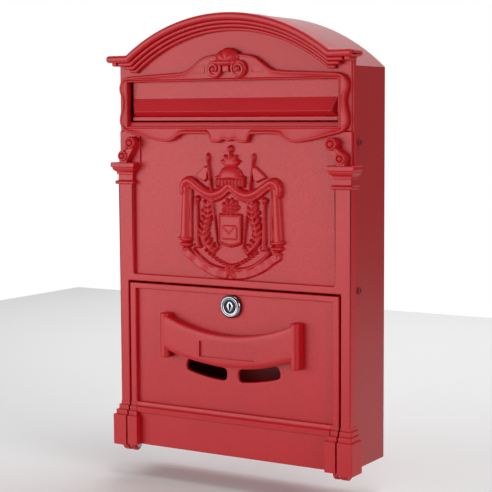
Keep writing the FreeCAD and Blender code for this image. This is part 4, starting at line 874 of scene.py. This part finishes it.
def staffs(x, z):
    """Two long staffs that lean outwards from behind the shield, each with a spear-leaf tip and a
    plain pennon, and two short clubs with ball tops inside the curtains."""
    side = np.abs(x)
    shaft = rod(side, z, (13.6, 196.0), (24.6, 277.0), 1.25, 4.2)
    tip = leaf(side, z, (24.0, 275.0), math.radians(84), 8.6, 2.3, 4.4)
    pennon = slab(side, z, [(23.4, 270.0), (24.6, 259.0), (28.2, 256.6), (39.6, 261.4),
                            (27.6, 271.4)], 3.2, 0.6)
    club = rod(side, z, (35.8, 197.5), (36.4, 236.0), 2.5, 4.2, 0.62)
    knob = bead(side, z, (36.5, 240.4), 3.3, 3.3, 5.2)
    foot = rod(side, z, (32.6, 196.6), (39.2, 196.6), 1.5, 4.4)
    return np.max([shaft, tip, pennon, club, knob, foot], axis=0)


def shield(x, z):
    """Plain shield with a raised border and a folded letter on it, under a rosette."""
    outline = [(-12.6, 200.5), (-6.0, 198.2), (0.0, 197.0), (6.0, 198.2), (12.6, 200.5),
               (12.6, 227.5), (-12.6, 227.5)]
    plain = slab(x, z, outline, 4.6, 1.0)
    inner = slab(x, z, inset(np.array(outline), 2.0), 1.0, 0.5)
    body = np.where(inner > 0, plain - 1.2, plain)
    letter = slab(x, z, [(-8.2, 204.5), (8.2, 204.5), (8.2, 217.0), (-8.2, 217.0)], 1.1, 0.5)
    fold = np.abs(z - (217.0 - 7.4 * (1 - np.abs(x) / 8.2)))
    letter = np.where((letter > 0) & (fold < 0.55), letter - 0.9, letter)
    body = np.where(letter > SUNK / 2, body + np.maximum(letter, 0), body)
    angle = np.arctan2(z - 233.5, x)
    away = np.hypot(x, (z - 233.5) * 1.15)
    rim = 9.6 + 1.1 * np.cos(9 * angle)
    rosette = np.where(away < rim, 5.2 * np.sqrt(np.clip(1 - (away / rim) ** 2, 0, 1))
                       * (0.82 + 0.18 * np.cos(9 * angle)), SUNK)
    heart = bead(x, z, (0.0, 233.5), 2.8, 2.6, 6.8)
    return np.max([body, rosette, heart], axis=0)


def laurel(x, z):
    """Laurel branches between the shield and the clubs: a curved stem with paired leaves that
    lean up and outwards, and berries at the top."""
    side = np.abs(x)
    knots = [(18.0, 191.0), (25.0, 197.0), (28.5, 206.0), (27.5, 216.0), (24.0, 226.0),
             (23.5, 236.0)]
    parts = [cord_relief(side, z, knots, 1.1, 4.6)]
    for k, (sx, sz) in enumerate(smooth_line(knots, 4)[1:-1:2]):
        lean = math.radians(96 + 8 * math.cos(k))
        parts.append(leaf(side, z, (sx, sz), lean - 0.85, 8.6, 2.5, 4.9))
        parts.append(leaf(side, z, (sx, sz), lean + 0.75, 8.2, 2.4, 4.7))
    parts.append(leaf(side, z, (23.5, 233.0), math.radians(92), 9.0, 2.6, 4.8))
    for bx, bz in ((19.8, 239.0), (27.6, 238.6), (30.6, 229.6), (18.4, 229.0)):
        parts.append(bead(side, z, (bx, bz), 1.5, 1.5, 4.2))
    return np.max(parts, axis=0)


def ribbon_tie(x, z):
    """Broad ribbon that hangs below the figures in a bow curve from hem to hem, with a chain of
    beads on it and a knot in the middle."""
    side = np.abs(x)
    broad = strip_relief(side, z, [(49.5, 190.0), (43.5, 186.6), (34.5, 180.2), (23.0, 174.8),
                                   (11.5, 171.8), (0.0, 171.0)], 4.4, 2.6, 0.55, 17.0)
    inner = strip_relief(side, z, [(41.0, 193.0), (33.0, 186.0), (22.5, 179.6), (11.0, 176.6),
                                   (0.0, 176.0)], 1.6, 3.3, 0.25, 11.0)
    chain = np.full(x.shape, SUNK)
    for t in np.linspace(0.0, 1.0, 8):
        at = (27.0 * t, 180.0 + 13.0 * t ** 1.6)
        chain = np.maximum(chain, bead(side, z, at, 2.2, 1.3, 4.6))
    knot = np.max([leaf(side, z, (0.0, 176.0), math.radians(a), 9.4, 2.6, 5.2) for a in (38, -62)],
                  axis=0)
    heart = bead(x, z, (0.0, 176.0), 3.0, 3.2, 6.0)
    return np.max([broad, inner, chain, knot, heart], axis=0)


def centre_relief():
    """Relief as one surface y = panel - h(x, z), h being the highest of its figures, which goes a
    little below the panel outside them and is closed by a back."""
    across = np.arange(-RELIEF_HALF, RELIEF_HALF + RELIEF_CELL / 2, RELIEF_CELL)
    up = np.arange(RELIEF_LOW, RELIEF_HIGH, RELIEF_CELL)
    x, z = np.meshgrid(across, up, indexing="ij")
    ground = bead(x, z, (0.0, 214.0), 46.0, 46.0, 0.9, 0.35)
    figures = [hung_cloth, canopy, crown_dome, staffs, shield, laurel, ribbon_tie]
    h = np.maximum(ground, np.max([figure(x, z) for figure in figures], axis=0))
    soft = h.copy()
    soft[1:-1, 1:-1] = (4 * h[1:-1, 1:-1] + 2 * (h[:-2, 1:-1] + h[2:, 1:-1] + h[1:-1, :-2]
                                                + h[1:-1, 2:])) / 12
    points, quads = lattice(np.stack([x, PANEL_FACE - soft, z], -1))
    count = x.size
    index = np.arange(count).reshape(x.shape)
    rim = np.concatenate([index[:-1, 0], index[-1, :-1], index[:0:-1, -1], index[0, :0:-1]])
    back = points[rim] * (1, 0, 1) + (0, PANEL_FACE + 1.6, 0)
    ids = count + np.arange(len(rim))
    wall = np.stack([rim, np.roll(rim, -1), np.roll(ids, -1), ids], 1)
    return np.vstack([points, back]), quads + [wall, ids[None]]


# ---- door ------------------------------------------------------------------------------------
DOOR_RIM = 6.5
DOOR_PANEL_LOW = 43.0
DOOR_PANEL_HIGH = DOOR_TOP - DOOR_RIM + 1.0
BLOCK_INNER = 102.2


def door_frame():
    """Rim of the door: a ring between its outer edge and the recessed panel, both arrises eased."""
    outer = eased(rectangle(DOOR_HALF, DOOR_FOOT, DOOR_TOP), 1.2)
    inner = eased(rectangle(DOOR_HALF - DOOR_RIM, DOOR_PANEL_LOW, DOOR_PANEL_HIGH), 1.0)
    rings = [upright(outer, WALL_BACK)]
    rings += [upright(inset(outer, i), PILASTER_FACE + s) for i, s in quarter(0.9)]
    rings += [upright(inset(inner, -i), PILASTER_FACE + s) for i, s in quarter(0.9)[::-1]]
    rings += [upright(inner, WALL_BACK)]
    return lattice(np.stack(rings), closed_u=True, closed_v=True)


PEEP_RADIUS = 180.0
PEEP_FOOT = 71.5
PEEP_HEIGHT = 11.5
PEEP_NEAR, PEEP_FAR = 6.6, 52.0
PEEP_CORNER = 4.9


def peep_outline(side):
    """Viewing slot: a band along an arc, between two distances beside the middle, with round
    ends."""
    centre = PEEP_FOOT + PEEP_RADIUS
    angle = np.arcsin(np.linspace(PEEP_NEAR, PEEP_FAR, 12) / PEEP_RADIUS)
    low = np.column_stack([PEEP_RADIUS * np.sin(angle), centre - PEEP_RADIUS * np.cos(angle)])
    high = np.column_stack([(PEEP_RADIUS - PEEP_HEIGHT) * np.sin(angle),
                            centre - (PEEP_RADIUS - PEEP_HEIGHT) * np.cos(angle)])[::-1]
    radius = np.full(24, 0.05)
    radius[[0, 11, 12, 23]] = PEEP_CORNER
    outline = np.vstack([low, high])
    if side < 0:
        outline = (outline * (-1, 1))[::-1]
        radius = radius[::-1]
    return eased(outline, radius)


def door_panel():
    """Recessed plate of the door, open at the two viewing slots and the lock."""
    hole = circle(0.0, LOCK_HEIGHT, 8.3)
    outline = rectangle(DOOR_HALF - DOOR_RIM + 1.0, DOOR_PANEL_LOW - 1.0, DOOR_PANEL_HIGH + 1.0)
    return pad(outline, PANEL_FACE, WALL_BACK, 0.2, [peep_outline(1), peep_outline(-1), hole], 1.5)


def door_ledge():
    """Moulding along the foot of the panel: a cove that falls forward to a square fillet."""
    half = BLOCK_INNER + 3.0
    angle = np.linspace(0.0, math.pi / 2, 7)
    cove = np.column_stack([PILASTER_FACE - 2.5 * (1 - np.cos(angle)), 42.6 - 4.6 * np.sin(angle)])
    section = np.vstack([[(12.0, 42.4)], cove, [(4.5, 37.4), (4.7, 33.1), (5.3, 32.5), (7.0, 32.3),
                                               (12.0, 32.3)]])
    return bar_x(section, -half, half)


def door_block():
    """Right-hand end of the plinth's middle part, which drops with the door, and its lug."""
    rings = []
    for i, z in nosed(PLINTH):
        x0, face = BLOCK_INNER + i, i * PLINTH_FACE_SLOPE
        plan = [(x0, 12.0), (x0, face + 0.7), (x0 + 0.2, face + 0.2), (x0 + 0.7, face),
                (DOOR_HALF, face), (DOOR_HALF, 12.0)]
        rings.append(np.column_stack([np.array(plan), np.full(6, max(z, DOOR_FOOT))]))
    return [stack(rings), rounded_lug(DOOR_HALF - 5.0, DOOR_HALF)]


HOOD_HALF = 70.7              # middle of the posts
HOOD_FACE = 0.2
LABEL_HALF, LABEL_LOW, LABEL_HIGH = 30.0, 94.1, 108.9
LABEL_DEPTH = 2.2


def sagged(x, end, middle):
    """Height of the arc through (HOOD_HALF, end) and (0, middle)."""
    rise = end - middle
    radius = (HOOD_HALF ** 2 + rise ** 2) / (2 * rise)
    return middle + radius - np.sqrt(radius ** 2 - x ** 2)


def hood_band():
    """Bowed band of the pull: its front is a grid whose rows run straight past the label recess
    and fan out to the arcs of the upper and lower edges beyond it; the section closes along the
    top and leaves a finger room behind the band."""
    edge = LABEL_HALF
    x = np.concatenate([np.linspace(-HOOD_HALF, -edge, 18), np.linspace(-edge, edge, 24),
                        np.linspace(edge, HOOD_HALF, 18)])
    in_x = np.zeros(60, bool)
    in_x[18:42] = True
    low, high = sagged(x, 98.8, 86.6), sagged(x, 130.6, 115.4)
    rows = [(0.0, 87.4, False), (0.05, 88.2, False), (0.12, 90.0, False), (0.20, LABEL_LOW, False),
            (0.20, LABEL_LOW, True), (0.45, 101.5, True), (0.74, LABEL_HIGH, True),
            (0.74, LABEL_HIGH, False), (0.86, 111.6, False), (0.95, 113.8, False),
            (1.0, 115.0, False)]
    w = np.clip((np.abs(x) - edge) / 22.0, 0, 1)
    w = w * w * (3 - 2 * w)
    setback = [1.1, 0.3] + [0.0] * 7 + [0.3, 1.2]
    section = []
    for k, (share, straight, deep) in enumerate(rows):
        near = low + (high - low) * share
        fixed = near if not LABEL_LOW <= straight <= LABEL_HIGH else np.full(60, straight)
        z = (1 - w) * fixed + w * near
        y = np.full(60, HOOD_FACE + setback[k]) + np.where(in_x & deep, LABEL_DEPTH, 0.0)
        section.append(np.column_stack([x, y, z]))
    back = HOOD_FACE + 2.6
    for y, z in ((HOOD_FACE + 2.2, high + 0.1), (PANEL_FACE + 0.6, high + 0.1),
                 (PANEL_FACE + 0.6, high - 2.5), (back + 1.5, high - 2.6), (back, high - 4.0),
                 (back, low + 1.0), (back - 0.6, low + 0.1)):
        section.append(np.column_stack([x, np.full(60, y), z]))
    return stack(np.stack(section, 1))


def hood_post():
    """Half-round post at the right-hand end of the band, its ends eased."""
    rings = []
    half, low, high = 4.8, 89.5, 132.0
    ease = quarter(1.6)
    levels = [(i, low + s) for i, s in ease[::-1]] + [(i, high - s) for i, s in ease]
    angle = np.linspace(-math.pi, 0.0, 21)
    for i, z in levels:
        r = half - i
        nose = np.column_stack([HOOD_HALF + r * np.cos(angle), half + r * np.sin(angle)])
        plan = np.vstack([nose,
                          [(HOOD_HALF + r, PANEL_FACE + 0.6), (HOOD_HALF - r, PANEL_FACE + 0.6)]])
        rings.append(np.column_stack([plan, np.full(len(plan), z)]))
    return stack(rings)


# ---- flap and lock ---------------------------------------------------------------------------
FLAP_HALF = 110.0
FLAP_FACE = 12.0
ROD_DEPTH, ROD_HEIGHT = 13.0, 351.6


def flap():
    """Flap: a sheet with, across it, a wedge that juts out as it goes down and slopes back
    under its front edge, its ends sloping in; below the wedge a groove and a thicker foot."""
    upper = pad(eased(rectangle(FLAP_HALF, 320.0, ROD_HEIGHT), 0.3), FLAP_FACE, FLAP_FACE + 2.0,
                0.3)
    web = pad(rectangle(FLAP_HALF - 0.1, 312.8, 321.0), FLAP_FACE + 1.3, FLAP_FACE + 1.9, 0.05)
    foot = pad(eased(rectangle(FLAP_HALF, 312.6, 316.4), 0.3), FLAP_FACE - 1.2, FLAP_FACE + 1.95,
               0.5)
    rows = [(13.2, 333.6, 0.0), (12.0, 333.5, 0.0), (7.9, 322.3, 4.6), (7.45, 321.6, 5.0),
            (7.45, 321.1, 5.0), (7.8, 320.8, 4.6), (12.8, 316.2, 0.0), (13.2, 316.1, 0.0)]
    ends = [np.array([(side * (FLAP_HALF - cut), y, z) for y, z, cut in rows]) for side in (-1, 1)]
    knuckle = []
    angle = np.linspace(0.0, 2 * math.pi, 28, endpoint=False)
    turn = np.column_stack([np.cos(angle), np.sin(angle)])
    ring, bore = ((ROD_DEPTH, ROD_HEIGHT) + radius * turn for radius in (3.1, 1.6))
    for x0 in (93.0, -107.0):
        tube = [np.column_stack([np.full(28, x), loop]) for loop, x in
                ((ring, x0), (ring, x0 + 14.0), (bore, x0 + 14.0), (bore, x0))]
        knuckle.append(lattice(np.stack(tube), closed_u=True, closed_v=True))
    return [upper, web, foot, stack(ends)] + knuckle


def lock_bezel():
    """Chromed head of the lock: a short barrel with a rounded rim that dips to the plug."""
    profile = [(6.75, 10.9), (10.86, 10.9), (10.86, 8.3), (10.8, 7.75), (10.4, 7.25), (9.85, 6.75),
               (9.2, 6.3), (8.6, 6.15), (8.0, 6.3), (7.6, 6.6), (7.2, 6.76), (6.75, 6.78)]
    return turned(profile, 0.0, LOCK_HEIGHT, 72, hollow=True)


def plug_guard():
    """Raised collar of the plug round the keyway: two arcs that meet above and below it."""
    angle = np.linspace(0.0, 2 * math.pi, 48, endpoint=False)
    across = np.cos(angle) * np.abs(np.cos(angle)) ** 0.3
    up = np.sin(angle) * np.abs(np.sin(angle)) ** 0.3
    rings = []
    for rx, rz, y in ((3.5, 4.9, 7.6), (3.5, 4.9, 7.0), (3.2, 4.6, 6.8), (1.5, 3.7, 6.8),
                      (1.3, 3.5, 7.0), (1.3, 3.5, 7.6)):
        rings.append(np.column_stack([rx * across, np.full(48, y), LOCK_HEIGHT + rz * up]))
    return lattice(np.stack(rings), closed_u=True, closed_v=True)


# ---- the pieces ------------------------------------------------------------------------------
casting = make_piece("casting_ground", casting_frame(), "case", CAST_COAT)
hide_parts("front_casting")
make_piece("cornice", cornice(), "case", CAST_COAT, 50.0)
make_piece("slot_surround", [slot_surround(), sill()], "case", CAST_COAT)
make_piece("slot_ornament",
           both(volute()) + [shell_fan()] + centre_block() + both([corner_sprig()]),
           "case", CAST_COAT, 45.0)
make_piece("scroll_consoles", both(console()), "case", CAST_COAT, 45.0)
make_piece("pilaster_capitals", both([capital()]), "case", CAST_COAT, 45.0)
make_piece("plinth_blocks", both(plinth()), "case", CAST_COAT, 45.0)
make_piece("centre_relief", [centre_relief()], "case", CAST_COAT, 70.0)

door = make_piece("door_casting", [door_frame(), door_panel(), door_ledge()] + both(door_block()),
                  "door", CAST_COAT)
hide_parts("door")
make_piece("pull_hood", [hood_band()] + both([hood_post()]), "door", CAST_COAT, 45.0)
make_piece("lock_bezel", [lock_bezel()], "door", CHROME, 50.0)
make_piece("lock_plug_guard", [plug_guard()], "lock", CHROME, 50.0)

slot_flap = make_piece("letter_flap", flap(), "flap", CAST_COAT)
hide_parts("slot_flap")


# ---- studio ----------------------------------------------------------------------------------
def studio_paper(name, code):
    """Matt pale paper, with a very faint mottle."""
    material, tree, place = start_material(name)
    mottle = add_node(tree, "ShaderNodeTexNoise", {"Vector": place, "Scale": per_metre(300.0)})
    finish_material(tree, {"Base Color": blend(tree, mottle.outputs["Fac"], code, "#F1F1F2"),
                           "Roughness": 0.9})
    return material


FLOOR_DROP = 0.0245           # the box hangs on a wall: the open door swings clear of the floor


def add_floor():
    """Square of pale paper below the lowest point of the box."""
    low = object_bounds()[0].z - FLOOR_DROP
    size = 1.1
    mesh = bpy.data.meshes.new("floor")
    corners = [(-size, -size, low), (size, -size, low), (size, size, low), (-size, size, low)]
    mesh.from_pydata(corners, [], [(0, 1, 2, 3)])
    mesh.materials.append(studio_paper("pale_floor_paper", "#F4F4F4"))
    floor = bpy.data.objects.new("floor", mesh)
    bpy.context.scene.collection.objects.link(floor)


def add_light(name, place, size, power, aim=(0.0, 0.0, 0.0)):
    """Softbox at a place, facing the aim: its two sides in metres and its power in watts."""
    light = bpy.data.lights.new(name, "AREA")
    light.shape = "RECTANGLE"
    light.size, light.size_y = size
    light.energy = power
    holder = bpy.data.objects.new(name, light)
    bpy.context.scene.collection.objects.link(holder)
    holder.location = place
    holder.rotation_euler = (Vector(aim) - Vector(place)).to_track_quat("-Z", "Y").to_euler()


def add_camera():
    """Camera in front of the box and to its right, a little above its middle."""
    camera = bpy.data.objects.new("camera", bpy.data.cameras.new("camera"))
    bpy.context.scene.collection.objects.link(camera)
    camera.data.sensor_width = 36.0
    camera.data.lens = 103.05
    camera.matrix_world = (Matrix.Translation((0.6845, -1.159, 0.1129))
                           @ Matrix.Rotation(math.radians(31.461), 4, "Z")
                           @ Matrix.Rotation(math.radians(90.0 - 5.318), 4, "X")
                           @ Matrix.Rotation(math.radians(-0.286), 4, "Z"))
    bpy.context.scene.camera = camera


def add_world():
    """Dim even light for the object, and a white surround where the camera looks past it."""
    world = bpy.data.worlds.new("studio")
    bpy.context.scene.world = world
    world.use_nodes = True
    tree = world.node_tree
    tree.nodes.clear()
    dim = add_node(tree, "ShaderNodeBackground", {"Color": colour("#FFFFFF"), "Strength": 0.16})
    white = add_node(tree, "ShaderNodeBackground", {"Color": colour("#FFFFFF"), "Strength": 1.0})
    seen = add_node(tree, "ShaderNodeLightPath").outputs["Is Camera Ray"]
    mixed = tree.nodes.new("ShaderNodeMixShader")
    for place, socket in enumerate((seen, dim.outputs[0], white.outputs[0])):
        tree.links.new(socket, mixed.inputs[place])
    add_node(tree, "ShaderNodeOutputWorld", {"Surface": mixed.outputs[0]})


add_floor()
add_camera()
add_world()
add_light("front_softbox", (-1.15, -1.75, 0.12), (2.4, 1.0), 31.0)
add_light("back_softbox", (-0.35, 1.7, 1.05), (2.2, 1.2), 8.0)
add_light("side_fill", (2.0, -0.75, 0.45), (0.9, 0.9), 14.0)
add_light("top_fill", (0.5, -0.3, 1.9), (0.8, 0.8), 9.0)
add_light("floor_wash", (-0.2, 0.8, 1.2), (2.0, 0.9), 12.0, (-0.2, 0.8, -0.2))
bpy.context.scene.view_settings.view_transform = "Standard"
